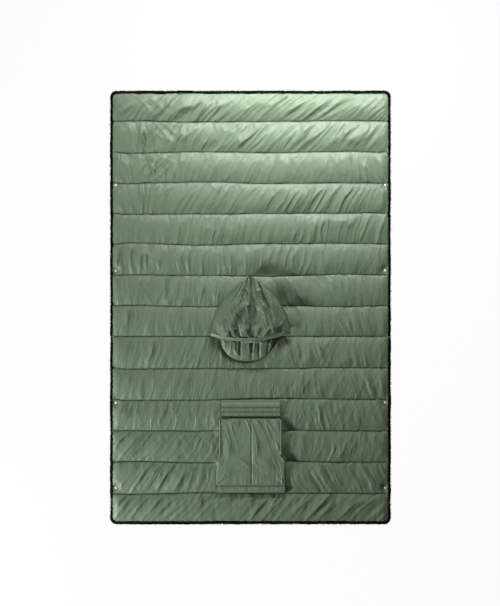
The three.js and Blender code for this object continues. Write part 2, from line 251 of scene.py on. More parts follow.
def from_arrays(name, points, faces):
    mesh = bpy.data.meshes.new(name)
    mesh.from_pydata([tuple(p) for p in points], [], faces)
    mesh.update()
    obj = bpy.data.objects.new(name, mesh)
    bpy.context.collection.objects.link(obj)
    return obj


# ---------------------------------------------------------------- node groups
def new_group(name, inputs, outputs):
    group = bpy.data.node_groups.new(name, "ShaderNodeTree")
    for label, kind, value in inputs:
        socket = group.interface.new_socket(label, in_out="INPUT", socket_type=kind)
        if value is not None:
            socket.default_value = value
    for label, kind in outputs:
        group.interface.new_socket(label, in_out="OUTPUT", socket_type=kind)
    return group, group.nodes.new("NodeGroupInput"), group.nodes.new("NodeGroupOutput")


def math_node(tree, operation, a, b=None):
    node = tree.nodes.new("ShaderNodeMath")
    node.operation = operation
    for socket, value in zip(node.inputs, (a, b)):
        if value is None:
            continue
        if isinstance(value, (int, float)):
            socket.default_value = value
        else:
            tree.links.new(value, socket)
    return node.outputs[0]


def noise_node(tree, vector, scale, detail=2.0, rough=0.5, distortion=0.0):
    node = tree.nodes.new("ShaderNodeTexNoise")
    if isinstance(scale, (int, float)):
        node.inputs["Scale"].default_value = scale
    else:
        tree.links.new(scale, node.inputs["Scale"])
    node.inputs["Detail"].default_value = detail
    node.inputs["Roughness"].default_value = rough
    node.inputs["Distortion"].default_value = distortion
    tree.links.new(vector, node.inputs["Vector"])
    return node.outputs["Fac"]


def stretched(tree, vector, scale):
    node = tree.nodes.new("ShaderNodeMapping")
    node.inputs["Scale"].default_value = scale
    tree.links.new(vector, node.inputs["Vector"])
    return node.outputs["Vector"]


def weave_group():
    """Plain weave: two sets of fine threads, seen in the height."""
    group, given, result = new_group(
        "Weave",
        [("Vector", "NodeSocketVector", None), ("Threads", "NodeSocketFloat", 900.0)],
        [("Height", "NodeSocketFloat")],
    )
    split = group.nodes.new("ShaderNodeSeparateXYZ")
    group.links.new(given.outputs["Vector"], split.inputs[0])
    waves = []
    for axis in ("X", "Y"):
        turned = math_node(group, "MULTIPLY", split.outputs[axis], given.outputs["Threads"])
        waves.append(math_node(group, "ABSOLUTE", math_node(group, "SINE", turned)))
    group.links.new(math_node(group, "MAXIMUM", waves[0], waves[1]), result.inputs["Height"])
    return group


def crinkle_group():
    """The fine crumple of thin nylon: short sharp folds that run mostly along Y, over a slow unevenness."""
    group, given, result = new_group(
        "Crinkle",
        [("Vector", "NodeSocketVector", None), ("Scale", "NodeSocketFloat", 1.0)],
        [("Height", "NodeSocketFloat"), ("Shade", "NodeSocketFloat")],
    )
    scaled = group.nodes.new("ShaderNodeVectorMath")
    scaled.operation = "SCALE"
    group.links.new(given.outputs["Vector"], scaled.inputs[0])
    group.links.new(given.outputs["Scale"], scaled.inputs["Scale"])
    long_folds = noise_node(group, stretched(group, scaled.outputs[0], (58, 13, 20)), 1.0, 2.0, 0.5, 0.6)
    sharp = math_node(group, "ABSOLUTE", math_node(group, "SUBTRACT", long_folds, 0.5))
    ridge = math_node(group, "SUBTRACT", 1.0, math_node(group, "MULTIPLY", sharp, 5.0))
    ridge = math_node(group, "MAXIMUM", ridge, 0.0)
    small = noise_node(group, stretched(group, scaled.outputs[0], (150, 60, 60)), 1.0, 3.0, 0.55, 0.4)
    height = math_node(group, "ADD", math_node(group, "MULTIPLY", ridge, 0.6), small)
    group.links.new(height, result.inputs["Height"])
    slow = noise_node(group, stretched(group, scaled.outputs[0], (5, 9, 5)), 1.0, 3.0, 0.6)
    group.links.new(slow, result.inputs["Shade"])
    return group


def pile_group():
    """Curly fleece: clumps a few millimetres across with finer fibres on them."""
    group, given, result = new_group(
        "Pile",
        [("Vector", "NodeSocketVector", None), ("Scale", "NodeSocketFloat", 170.0)],
        [("Height", "NodeSocketFloat")],
    )
    cells = group.nodes.new("ShaderNodeTexVoronoi")
    cells.feature = "SMOOTH_F1"
    group.links.new(given.outputs["Vector"], cells.inputs["Vector"])
    group.links.new(given.outputs["Scale"], cells.inputs["Scale"])
    fine = noise_node(group, given.outputs["Vector"], 900.0, 3.0, 0.6, 1.2)
    clumps = math_node(group, "SUBTRACT", 1.0, cells.outputs["Distance"])
    height = math_node(group, "ADD", clumps, math_node(group, "MULTIPLY", fine, 0.5))
    group.links.new(height, result.inputs["Height"])
    return group


def wear_group():
    """Slow unevenness of a surface: a mask that lightens or dulls it here and there."""
    group, given, result = new_group(
        "Wear",
        [("Vector", "NodeSocketVector", None), ("Scale", "NodeSocketFloat", 40.0)],
        [("Mask", "NodeSocketFloat")],
    )
    patches = noise_node(group, given.outputs["Vector"], given.outputs["Scale"], 4.0, 0.65)
    mask = math_node(group, "MULTIPLY", math_node(group, "SUBTRACT", patches, 0.42), 2.6)
    held = group.nodes.new("ShaderNodeClamp")
    group.links.new(mask, held.inputs["Value"])
    group.links.new(held.outputs[0], result.inputs["Mask"])
    return group


WEAVE, CRINKLE, PILE, WEAR = weave_group(), crinkle_group(), pile_group(), wear_group()


# ---------------------------------------------------------------- materials
class Finish:
    """A material in the making: its tree, its shader and the object coordinates it reads."""

    def __init__(self, name, color, roughness):
        self.material = bpy.data.materials.new(name)
        self.material.use_nodes = True
        self.tree = self.material.node_tree
        self.shader = next(n for n in self.tree.nodes if n.type == "BSDF_PRINCIPLED")
        self.shader.inputs["Base Color"].default_value = (*color, 1)
        self.shader.inputs["Roughness"].default_value = roughness
        self.material.diffuse_color = (*color, 1)
        self.vector = self.tree.nodes.new("ShaderNodeTexCoord").outputs["Object"]

    def set(self, **values):
        for label, value in values.items():
            self.shader.inputs[label.replace("_", " ")].default_value = value
        return self

    def group(self, tree, **values):
        node = self.tree.nodes.new("ShaderNodeGroup")
        node.node_tree = tree
        self.tree.links.new(self.vector, node.inputs["Vector"])
        for label, value in values.items():
            node.inputs[label].default_value = value
        return node

    def ramp(self, factor, low, high, socket):
        """Mixes two colours, or two numbers, by a mask, into one of the shader's sockets."""
        mix = self.tree.nodes.new("ShaderNodeMix")
        if isinstance(low, tuple):
            mix.data_type = "RGBA"
            a, b, out = mix.inputs[6], mix.inputs[7], mix.outputs[2]
            a.default_value, b.default_value = (*low, 1), (*high, 1)
        else:
            a, b, out = mix.inputs[2], mix.inputs[3], mix.outputs[0]
            a.default_value, b.default_value = low, high
        self.tree.links.new(factor, mix.inputs[0])
        self.tree.links.new(out, self.shader.inputs[socket])

    def paint_shade(self, attribute, amount):
        """Paints shade: darkens the colour where one of the mesh's own attributes is high."""
        reader = self.tree.nodes.new("ShaderNodeAttribute")
        reader.attribute_name = attribute
        mix = self.tree.nodes.new("ShaderNodeMix")
        mix.data_type = "RGBA"
        mix.blend_type = "MULTIPLY"
        shown = self.shader.inputs["Base Color"].links[0].from_socket
        self.tree.links.new(math_node(self.tree, "MULTIPLY", reader.outputs["Fac"], amount), mix.inputs[0])
        self.tree.links.new(shown, mix.inputs[6])
        # The colour of the painted shade.
        mix.inputs[7].default_value = (0.06, 0.07, 0.06, 1)
        self.tree.links.new(mix.outputs[2], self.shader.inputs["Base Color"])

    def bump(self, *layers):
        """Stacks heights: each layer is (height socket, strength, distance in metres)."""
        previous = None
        for height, strength, distance in layers:
            node = self.tree.nodes.new("ShaderNodeBump")
            node.inputs["Strength"].default_value = strength
            node.inputs["Distance"].default_value = distance
            self.tree.links.new(height, node.inputs["Height"])
            if previous is not None:
                self.tree.links.new(previous, node.inputs["Normal"])
            previous = node.outputs["Normal"]
        self.tree.links.new(previous, self.shader.inputs["Normal"])
        return self.material


def nylon(name, low, high, roughness=0.42, crumple=0.5, grooved_with_painted_shade=False):
    made = Finish(name, high, roughness)
    made.set(Sheen_Weight=0.04, Sheen_Roughness=0.4, Specular_IOR_Level=0.32)
    if grooved_with_painted_shade:
        reader = made.tree.nodes.new("ShaderNodeAttribute")
        reader.attribute_name = "Lay"
        made.vector = reader.outputs["Vector"]
    crinkle = made.group(CRINKLE, Scale=1.0)
    weave = made.group(WEAVE, Threads=5200.0)
    made.ramp(crinkle.outputs["Shade"], low, high, "Base Color")
    # Painted shade: the colour darkens in seams, creases and along sewn edges, read from the mesh's own
    # attribute.
    if grooved_with_painted_shade:
        made.paint_shade("PaintedShade", 0.9)
    wear = made.group(WEAR, Scale=9.0)
    made.ramp(wear.outputs["Mask"], roughness - 0.05, roughness + 0.08, "Roughness")
    return made.bump(
        (crinkle.outputs["Height"], crumple, 2.6 * MM),
        (weave.outputs["Height"], 0.12, 0.1 * MM),
    )


def piled(name, color, low, high, scale, strength, depth, **shader):
    """Sherpa fleece or loose fibre."""
    made = Finish(name, color, 0.95).set(**shader)
    pile = made.group(PILE, Scale=scale)
    made.ramp(pile.outputs["Height"], low, high, "Base Color")
    return made.bump((pile.outputs["Height"], strength, depth))


def woven(name, color, low, high, roughness, threads, strength, depth, **shader):
    """Woven tape or thread."""
    made = Finish(name, color, roughness).set(**shader)
    weave = made.group(WEAVE, Threads=threads)
    made.ramp(weave.outputs["Height"], low, high, "Base Color")
    return made.bump((weave.outputs["Height"], strength, depth))


def worn(name, color, low, high, roughness, rough_range, scale, strength, **shader):
    """Steel, pearl or moulded plastic with slow wear over it."""
    made = Finish(name, color, roughness).set(**shader)
    wear = made.group(WEAR, Scale=scale)
    made.ramp(wear.outputs["Mask"], low, high, "Base Color")
    made.ramp(wear.outputs["Mask"], *rough_range, "Roughness")
    return made.bump((wear.outputs["Mask"], strength, 0.1 * MM))


NYLON_QUILT = nylon("Quilted nylon", (0.13, 0.18, 0.115), (0.165, 0.223, 0.146), 0.46, 0.62, True)
NYLON = nylon("Pocket nylon", (0.142, 0.194, 0.126), (0.176, 0.236, 0.156), 0.44, 0.55, True)
# The hood's nylon is the shell's nylon painted darker: painted shade for the shading among the hood's folds.
NYLON_HOOD_SHADED = nylon("Hood nylon painted darker as shade", (0.09, 0.125, 0.08), (0.122, 0.168, 0.109), 0.46, 0.6, True)
NYLON_TRIM = nylon("Folded nylon trim", (0.155, 0.207, 0.139), (0.19, 0.25, 0.17), 0.45, 0.4)
FLEECE_DARK = (0.0012, 0.0012, 0.0012)
FLEECE = piled("Sherpa fleece", FLEECE_DARK, FLEECE_DARK, (0.004, 0.004, 0.004), 190.0, 1.0, 2.2 * MM,
               Sheen_Weight=0.01, Sheen_Roughness=0.6, Specular_IOR_Level=0.05)
WADDING = piled("Wadding fibre", (0.78, 0.77, 0.74), (0.6, 0.59, 0.56), (0.84, 0.83, 0.8), 90.0, 0.6,
                3 * MM, Sheen_Weight=0.3, Sheen_Roughness=0.7, Specular_IOR_Level=0.1)
TAPE_LIGHT = (0.05, 0.066, 0.046)
TAPE = woven("Woven tape", TAPE_LIGHT, (0.022, 0.03, 0.02), TAPE_LIGHT, 0.7, 2600.0, 0.6, 0.3 * MM,
             Sheen_Weight=0.1, Sheen_Roughness=0.5)
THREAD = woven("Quilting thread", (0.02, 0.03, 0.018), (0.012, 0.018, 0.011), (0.04, 0.055, 0.036), 0.6,
               4200.0, 0.5, 0.2 * MM)
STEEL = worn("Dark plated steel", (0.2, 0.2, 0.2), (0.16, 0.16, 0.165), (0.34, 0.33, 0.31), 0.34,
             (0.28, 0.46), 420.0, 0.25, Metallic=0.95)
PEARL = worn("Pearl stud cap", (0.82, 0.81, 0.72), (0.86, 0.85, 0.76), (0.74, 0.74, 0.68), 0.22,
             (0.18, 0.34), 260.0, 0.15, Coat_Weight=0.5, Coat_Roughness=0.1)
COIL = worn("Zip coil", (0.02, 0.028, 0.02), (0.014, 0.02, 0.013), (0.04, 0.052, 0.038), 0.42,
            (0.36, 0.55), 600.0, 0.3)


# ---------------------------------------------------------------- cloth simulation of the quilting
COLUMNS = 300
ROWS = 16                       # to a sample channel
SWATCH_PITCH = 0.155
SHELL_LAP = 9 * MM              # the shell laps this far over the fleece edging
HALF_WIDE = SHELL_X + SHELL_LAP
PUFF_X = HALF_WIDE - 3 * MM
SIDE_RUN = 0.03                 # over which a channel closes at its end
ARCH = (CREST_Z - SEAM_Z) * 0.72
SWATCH_SHEARS = (0.08, -0.03, 0.16, -0.1)       # how far each sample's cloth is pulled askew
SIM_FRAMES = 30


def side_close(x):
    over = np.clip(np.abs(x) - PUFF_X + SIDE_RUN, 0, SIDE_RUN) / SIDE_RUN
    return np.sqrt(1 - over ** 2)


def swatch_guess(u, v, seed, shear):
    """A channel's puff and puckers without a simulation: x, y and z offsets in metres."""
    x = (u - 0.5) * 2 * HALF_WIDE
    y = v * SWATCH_PITCH
    arch = np.sqrt(np.clip(4 * v * (1 - v), 0, 1))
    askew = x + shear * 6 * (y - SWATCH_PITCH / 2)
    folds = crease(askew, y, 0.028, 0.13, seed) - 0.35
    z = arch * side_close(x) * (23 * MM + 4 * MM * folds)
    return np.zeros_like(x), np.zeros_like(x), z


def simulate_swatches():
    """Puffs four sample channels as cloth held at its seams and a little too big for them."""
    span = SWATCH_PITCH * 1.6

    def flat(u, v):
        return (u - 0.5) * 2 * HALF_WIDE, v * SWATCH_PITCH, np.zeros_like(u)

    samples = []
    for index, shear in enumerate(SWATCH_SHEARS):
        obj = cloth_grid(f"swatch_{index}", COLUMNS, ROWS, flat)
        points = read_points(obj)
        u = points[:, 0] / (2 * HALF_WIDE) + 0.5
        v = points[:, 1] / SWATCH_PITCH
        rest = points.copy()
        rest[:, 0] = points[:, 0] * 1.075 + shear * (points[:, 1] - SWATCH_PITCH / 2)
        rest[:, 1] = points[:, 1] * 1.09
        start = points.copy()
        start[:, 2] = swatch_guess(u, v, 11 + index, shear)[2] * 0.6
        start[:, 2] += 1.5 * MM * drift(points[:, 0], points[:, 1], 0.02, 0.09, 31 + index)
        held = np.where((v < 0.001) | (v > 0.999) | (np.abs(points[:, 0]) > PUFF_X))[0]
        start[held, 2] = 0
        offset = np.array([0, index * span, 0])
        write_points(obj, start + offset)
        obj.shape_key_add(name="Basis")
        key = obj.shape_key_add(name="Rest")
        key.data.foreach_set("co", (rest + offset).astype(np.float32).ravel())
        group = obj.vertex_groups.new(name="Seam")
        group.add([int(i) for i in held], 1.0, "REPLACE")
        modifier = obj.modifiers.new("Cloth", "CLOTH")
        cloth = modifier.settings
        cloth.quality = 6
        cloth.mass = 0.08
        cloth.tension_stiffness = cloth.compression_stiffness = 20
        cloth.shear_stiffness = 8
        cloth.bending_stiffness = 0.5
        cloth.tension_damping = cloth.compression_damping = 8
        cloth.air_damping = 3
        cloth.vertex_group_mass = "Seam"
        cloth.rest_shape_key = key
        cloth.use_pressure = True
        cloth.uniform_pressure_force = 3.2
        cloth.effector_weights.gravity = 0
        modifier.collision_settings.use_collision = False
        samples.append((obj, points, offset))
    scene = bpy.context.scene
    for number in range(1, SIM_FRAMES + 1):
        scene.frame_set(number)
    graph = bpy.context.evaluated_depsgraph_get()
    made = []
    for obj, points, offset in samples:
        shaped = obj.evaluated_get(graph).to_mesh()
        settled = np.empty(len(shaped.vertices) * 3, np.float32)
        shaped.vertices.foreach_get("co", settled)
        moved = np.clip(settled.reshape(-1, 3) - offset - points, -34 * MM, 34 * MM)
        made.append([moved[:, axis].reshape(ROWS + 1, COLUMNS + 1) for axis in range(3)])
    scene.frame_set(1)
    for obj, _, _ in samples:
        bpy.data.objects.remove(obj)
    return made


def make_swatches():
    return simulate_swatches()
    u, v = np.meshgrid(np.linspace(0, 1, COLUMNS + 1), np.linspace(0, 1, ROWS + 1))
    return [swatch_guess(u, v, 11 + i, shear) for i, shear in enumerate(SWATCH_SHEARS)]


SWATCHES = make_swatches()

# Which sample each channel uses, from the back hem down, and whether it is turned left for right or
# end for end.
CHANNEL_CLOTH = [
    (2, False, False), (0, False, False), (3, True, False), (0, True, True), (1, False, False),
    (1, True, False), (3, False, True), (1, False, True), (0, False, True), (3, True, True),
    (0, True, False), (2, True, True), (3, False, False), (2, False, True),
]
# How far the loose folds of each channel lean, and how deep they are, at five places from left to right.
# A lean of 1 is 45 degrees, top to the right.
FOLD_LEAN = [
    (0.8, 0.9, 1.1, 1.4, 1.2), (-0.6, 0.4, 0.9, 0.9, 0.8), (-0.5, 0.3, 0.5, 0.35, -0.6),
    (-0.5, 0.6, 0.7, 0.6, 0.4), (0.1, 0.0, 0.3, 0.15, 0.4), (0.1, -0.05, 0.1, 0.2, 0.3),
    (0.0, 0.1, 0.0, -0.6, -0.1), (0.1, 0.15, 0.0, -0.5, -0.2), (0.2, 0.35, 0.0, -0.4, -0.1),
    (0.4, 0.3, 0.0, -0.1, -0.5), (0.3, 0.15, 0.0, -0.2, -0.5), (0.9, 0.8, 0.0, 0.25, 0.2),
    (0.8, 0.6, 0.0, -0.7, -0.4), (0.9, 1.1, 0.8, 1.0, 1.1),
]
FOLD_DEPTH = [
    (1.5, 1.6, 0.8, 1.0, 1.2), (1.8, 1.6, 0.9, 1.0, 1.1), (1.8, 1.6, 0.5, 0.8, 1.0),
    (1.7, 1.2, 0.8, 0.9, 0.9), (1.0, 1.1, 0.7, 0.8, 0.8), (1.0, 1.1, 0.6, 0.8, 0.8),
    (0.8, 0.9, 0.4, 0.8, 0.4), (0.5, 0.6, 0.3, 0.6, 0.4), (0.6, 0.7, 0.4, 0.6, 0.6),
    (0.5, 0.7, 0.5, 0.8, 0.7), (0.5, 0.6, 0.4, 0.7, 0.7), (0.8, 1.0, 0.5, 0.7, 0.5),
    (0.7, 0.9, 0.5, 0.9, 0.6), (1.0, 1.2, 0.9, 1.2, 1.1),
]
LEAN_PLACES = np.linspace(-HALF_WIDE, HALF_WIDE, 5)
FINE_COLUMNS = 420
FINE_X = np.linspace(-HALF_WIDE, HALF_WIDE, FINE_COLUMNS + 1)
CRUMPLED = {0: -0.46, 1: -0.42, 2: -0.48}       # channels with a crumpled patch, and where across


def channel_offsets(number):
    """Wrinkles of one channel's cloth about its mean arch: sideways, along and up, row by row."""
    sample, mirrored, turned = CHANNEL_CLOTH[number]
    dx, dy, dz = (part.copy() for part in SWATCHES[sample])
    at = (np.linspace(0, 1, COLUMNS + 1) - 0.5) * 2 * HALF_WIDE
    dz = dz - dz[:, 20:-20].mean(axis=1, keepdims=True) * side_close(at)
    dy = dy - dy[:, 20:-20].mean(axis=1, keepdims=True)
    dx, dy, dz = (np.stack([np.interp(FINE_X, at, row) for row in part]) for part in (dx, dy, dz))
    if mirrored:
        dx, dy, dz = -dx[:, ::-1], dy[:, ::-1], dz[:, ::-1]
    if turned:
        dx, dy, dz = dx[::-1], -dy[::-1], dz[::-1]
    return dx, dy, dz


def fold_lean(number, x):
    return np.interp(x, LEAN_PLACES, FOLD_LEAN[number])


def channel_folds(number, x, y, v):
    """Loose folds that lean along the channel, and the places across that they run along."""
    depth = np.interp(x, LEAN_PLACES, FOLD_DEPTH[number])
    middle = (SEAMS[number] + SEAMS[number + 1]) / 2
    across = x - fold_lean(number, x) * (y - middle) + 7 * MM * drift(x, y, 0.08, 0.05, 110 + number)
    loose = 0.35 + 0.9 * smooth(drift(x, y, 0.11, 0.09, 200 + number), -0.5, 0.6)
    strong = crease(across, y, 0.06, 0.2, 120 + number) - 0.3
    medium = crease(across, y, 0.03, 0.14, 140 + number) - 0.3
    fine = crease(across, y, 0.019, 0.1, 160 + number) - 0.3
    folds = depth * loose * (9.0 * strong + 7.5 * medium + 3.2 * fine)
    if number in CRUMPLED:
        patch = np.exp(-((x - CRUMPLED[number]) / 0.09) ** 2)
        rising = crease(x - 0.9 * y, y, 0.04, 0.13, 180 + number)
        falling = crease(x + y, y, 0.045, 0.12, 184 + number)
        folds = folds * (1 - 0.4 * patch) + 9 * (rising + falling - 0.8) * patch
    inside = smooth(PUFF_X - np.abs(x), 0, 0.025)
    return folds * MM * inside * np.sin(math.pi * v) ** 0.55, across


# ---------------------------------------------------------------- quilted halves
NECK_CENTRE = Vector(((NECK_FRONT[0].x + NECK_FRONT[1].x) / 2, FOLD_Y, 0))
NECK_ACROSS = (CHIN[1].x - CHIN[0].x) / 2
NECK_AHEAD = FOLD_Y - CHIN[0].y
NECK_BEHIND = NECK_BACK[1].y - FOLD_Y
PUCKER_DEPTH = 1.7 * MM
LEAST_LOFT = 10.5 * MM   # over the middle of a channel, so that the wadding stays covered
# How wide the painted shade along each seam is.
PAINTED_GROOVE_SHADE_WIDTH = 0.0036
ROW_SHARES = (0, 0.012, 0.03, 0.055, 0.085, 0.12, 0.16, 0.205, 0.25, 0.3, 0.35, 0.4, 0.45, 0.5)
ROW_SHARES = ROW_SHARES + tuple(1 - share for share in reversed(ROW_SHARES[:-1]))


def neck_distance(x, y):
    """1 on the edge of the neck opening in the shell, more outside it."""
    reach = np.where(y < FOLD_Y, NECK_AHEAD, NECK_BEHIND)
    return np.hypot((x - NECK_CENTRE.x) / NECK_ACROSS, (y - FOLD_Y) / reach)


INSIDE_EDGE = 0.93       # nearer the middle of the neck opening than this, cloth is cut away
BESIDE_NECK = 1.3        # out to here the quilting is held down by the neck's binding


def draw_to_neck(points, away, outside_edge):
    """Draws the points beside the neck opening's edge onto it."""
    edge = (away > INSIDE_EDGE) & (away < outside_edge)
    pull = np.where(edge, 1 / away, 1)
    points[:, 0] = NECK_CENTRE.x + (points[:, 0] - NECK_CENTRE.x) * pull
    points[:, 1] = FOLD_Y + (points[:, 1] - FOLD_Y) * pull


def seam_wander(x, number):
    """How far a seam strays along the blanket; the hems and the shoulder line stay put."""
    if number in (0, BACK_CHANNELS, len(SEAMS) - 1):
        return np.zeros_like(x)
    ends = smooth(SHELL_X - np.abs(x), 0, 0.05)
    slow = 7.5 * MM * drift(x, 0 * x, 0.36, 1, 50 + number)
    return ends * (slow + 1.6 * MM * drift(x, 0 * x, 0.08, 1, 80 + number))


def strip_height(x):
    """The height of a seam, which laps up over the edging at its ends."""
    return SEAM_Z - 0.6 * MM + 3.2 * MM * smooth(np.abs(x), SHELL_X - 1 * MM, HALF_WIDE)


def pressed(x, y):
    """How far the hood's peak and right flank press the quilting down: 0 not at all, 1 flat."""
    above = np.exp(-((x - 0.07) / 0.06) ** 2 - (np.maximum(y - SEAMS[6], 0) / 0.055) ** 2) * (y > SEAMS[6])
    beside = np.exp(-((x - 0.155) / 0.045) ** 2 - ((y - 0.05) / 0.06) ** 2) * (y < SEAMS[6])
    return 0.9 * above + 0.85 * beside


CAPS = [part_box(f"{half}_cap_{place}") for half in ("back", "front")
        for place in ("near_left", "near_right", "hem_left", "hem_right")]


def by_studs(x, y):
    """0 under a press-stud's cap, 1 well away from every cap."""
    share = np.ones_like(x)
    for low, high in CAPS:
        away = np.hypot(x - (low.x + high.x) / 2, y - (low.y + high.y) / 2)
        share = np.minimum(share, smooth(away, 0.0075, 0.034))
    return share


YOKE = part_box("pocket_yoke")
POCKET_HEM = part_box("pocket_hem")
POCKET_SEAMS = ((YOKE[1].y, YOKE[1].x), (POCKET_HEM[0].y, PANEL[1].x))


def under_pocket(x, y):
    """How far the pocket holds the quilting down: 0 beside it, most in its middle."""
    (top, half), (foot, _) = POCKET_SEAMS
    inside = smooth(half - np.abs(x), 0.004, 0.03)
    return 0.3 * inside * smooth(top - y, -0.004, 0.004) * smooth(y - foot, -0.004, 0.004)


def beside_pocket(x, y):
    """The pocket's sides are caught down, and hold the seams beside them up."""
    (top, half), (foot, _) = POCKET_SEAMS
    sideways = smooth(half + 0.055 - np.abs(x), 0, 0.06)
    return 14 * MM * sideways * smooth(top - 0.02 - y, 0, 0.03) * (y > foot + 0.05)


def hem_reach(number):
    return SHELL_LAP if number in (0, len(SEAMS) - 1) else 0


def quilt_surface(first, last):
    """Rows of points, from the front side to the back, for the channels first to last."""
    x_line = FINE_X
    close = side_close(x_line)
    rows, shades, lays = [], [], []
    for number in range(last, first - 1, -1):
        upper = SEAMS[number] + hem_reach(number)
        lower = SEAMS[number + 1] - hem_reach(number + 1)
        dx, dy, dz = channel_offsets(number)
        pitch = upper - lower
        for v in ROW_SHARES:
            if v == 0 and number != last:
                continue
            at = min(int(v * ROWS), ROWS - 1)
            share = v * ROWS - at
            shift_x = dx[at] * (1 - share) + dx[at + 1] * share
            shift_y = dy[at] * (1 - share) + dy[at + 1] * share
            puff = dz[at] * (1 - share) + dz[at + 1] * share
            y = lower + v * pitch + shift_y * pitch / SWATCH_PITCH
            y = y + (1 - v) * seam_wander(x_line, number + 1) + v * seam_wander(x_line, number)
            near = min(v, 1 - v) * pitch
            puckers = crease(x_line, 0 * x_line + number, 0.012, 1, 90 + number) - 0.4
            folds, across = channel_folds(number, x_line, y, v)
            arch = max(math.sin(math.pi * v), 0)
            seam = strip_height(x_line)
            z = seam + close * ARCH * arch ** 0.85 + puff + folds
            z = z + close * PUCKER_DEPTH * puckers * math.exp(-near / 0.014) * min(1, near / 0.003)
            z = np.maximum(z, seam + LEAST_LOFT * arch ** 1.25 * close)
            z = np.maximum(z, seam + beside_pocket(x_line, y))
            flat = pressed(x_line, y)
            z = seam + (z - seam) * (1 - flat) * (1 - under_pocket(x_line, y)) * by_studs(x_line, y)
            rows.append(np.stack([x_line + shift_x * close, y, z], 1))
            # Painted shade: a dark band along each seam, and a painted shadow where the hood presses the
            # quilting down.
            shades.append(math.exp(-(near / PAINTED_GROOVE_SHADE_WIDTH) ** 2) * (0.35 + 0.65 * close) + 0.8 * flat * flat)
            lays.append(np.stack([across, y, z], 1))
    return np.stack(rows), np.stack(shades), np.stack(lays)


def round_corners(points, far):
    """Draws the corners of the shell in to the edging's curve."""
    radius = 0.026
    centre_x = HALF_WIDE - radius
    centre_y = abs(far) - radius
    dx = np.abs(points[:, 0]) - centre_x
    dy = np.sign(far) * points[:, 1] - centre_y
    corner = (dx > 0) & (dy > 0)
    length = np.hypot(dx, dy)
    pull = np.where(corner, np.maximum(dx, dy) / np.maximum(length, 1e-6), 1)
    points[:, 0] = np.where(corner, np.sign(points[:, 0]) * (centre_x + dx * pull), points[:, 0])
    points[:, 1] = np.where(corner, np.sign(far) * (centre_y + dy * pull), points[:, 1])


def make_quilt(name, first, last, nodes):
    surface, shades, lays = quilt_surface(first, last)
    height, width = surface.shape[:2]
    kept = []

    def place(u, v):
        i = np.round(u * (width - 1)).astype(int)
        j = np.round(v * (height - 1)).astype(int)
        kept.append((shades[j, i], lays[j, i]))
        return surface[j, i, 0], surface[j, i, 1], surface[j, i, 2]

    obj = cloth_grid(name, width - 1, height - 1, place)
    mark(obj, *kept[0])
    points = read_points(obj)
    away = neck_distance(points[:, 0], points[:, 1])
    low = SEAM_Z + 5 * MM
    pinch = smooth(away, 1.0, 1.2) ** 0.6
    points[:, 2] = np.where(away < BESIDE_NECK, low + (points[:, 2] - low) * pinch, points[:, 2])
    draw_to_neck(points, away, 1.035)
    far = SEAMS[0] + SHELL_LAP if first == 0 else SEAMS[-1] - SHELL_LAP
    round_corners(points, far)
    along = np.abs(points[:, 1])
    rise = smooth(along, abs(far) - SHELL_LAP - 1 * MM, abs(far)) * (along > abs(far) - 0.02)
    lapped = np.maximum(points[:, 2], strip_height(0) + 3.0 * MM * rise)
    points[:, 2] = np.where(rise > 0, lapped, points[:, 2])
    write_points(obj, points)
    cut_away(obj, away <= INSIDE_EDGE)
    thicken(obj, 0.6 * MM)
    shade(obj)
    paint(obj, NYLON_QUILT)
    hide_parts(*nodes)
    return obj


def across_fold(obj):
    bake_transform(obj)


back_quilt = make_quilt("back_shell_quilting", 0, BACK_CHANNELS - 1, ["back_shell"])
front_quilt = make_quilt("front_shell_quilting", BACK_CHANNELS, len(SEAMS) - 2, ["front_shell"])
across_fold(back_quilt)
across_fold(front_quilt)


# ---------------------------------------------------------------- stitching along the seams
def stitch_line(points, length, radius):
    """Short raised stitches along a run of points: each a flat lozenge of six sides."""
    steps = np.linalg.norm(np.diff(points, axis=0), axis=1)
    travelled = np.concatenate([[0], np.cumsum(steps)])
    starts = np.arange(0, travelled[-1] - length, length * 1.35)
    made_points, faces = [], []
    for start in starts:
        ends = [start, start + length * 0.5, start + length]
        line = np.stack([[np.interp(e, travelled, points[:, k]) for k in range(3)] for e in ends])
        along = line[2] - line[0]
        along /= np.linalg.norm(along) + 1e-9
        across = np.cross(along, (0, 0, 1.0))
        across /= np.linalg.norm(across) + 1e-9
        up = np.cross(across, along)
        base = len(made_points)
        for at, size in zip(line, (0.55, 1.0, 0.55)):
            for turn in range(5):
                angle = turn * math.tau / 5
                made_points.append(at + size * radius * (across * math.cos(angle) + up * math.sin(angle)))
        for ring in (0, 5):
            for turn in range(5):
                a, b = base + ring + turn, base + ring + (turn + 1) % 5
                faces.append((a, b, b + 5, a + 5))
        faces.append(tuple(base + k for k in reversed(range(5))))
        faces.append(tuple(base + 10 + k for k in range(5)))
    return made_points, faces


def stitched(name, lines, length=4.2 * MM, radius=0.55 * MM):
    points, faces = [], []
    for line in lines:
        more, more_faces = stitch_line(line, length, radius)
        shift = len(points)
        points += more
        faces += [tuple(i + shift for i in face) for face in more_faces]
    obj = from_arrays(name, points, faces)
    face_outwards(obj)
    shade(obj)
    paint(obj, THREAD)
    return obj


def seam_line(number):
    x = np.linspace(-SHELL_X + 0.006, SHELL_X - 0.006, 320)
    y = SEAMS[number] + seam_wander(x, number)
    return np.stack([x, y, strip_height(x) + 0.3 * MM], 1)


def seam_lines(numbers):
    lines = []
    for number in numbers:
        line = seam_line(number)
        away = neck_distance(line[:, 0], line[:, 1]) > 1.02
        for side in (line[:, 0] < NECK_CENTRE.x, line[:, 0] >= NECK_CENTRE.x):
            kept = line[away & side]
            if len(kept) > 4:
                lines.append(kept)
    return lines


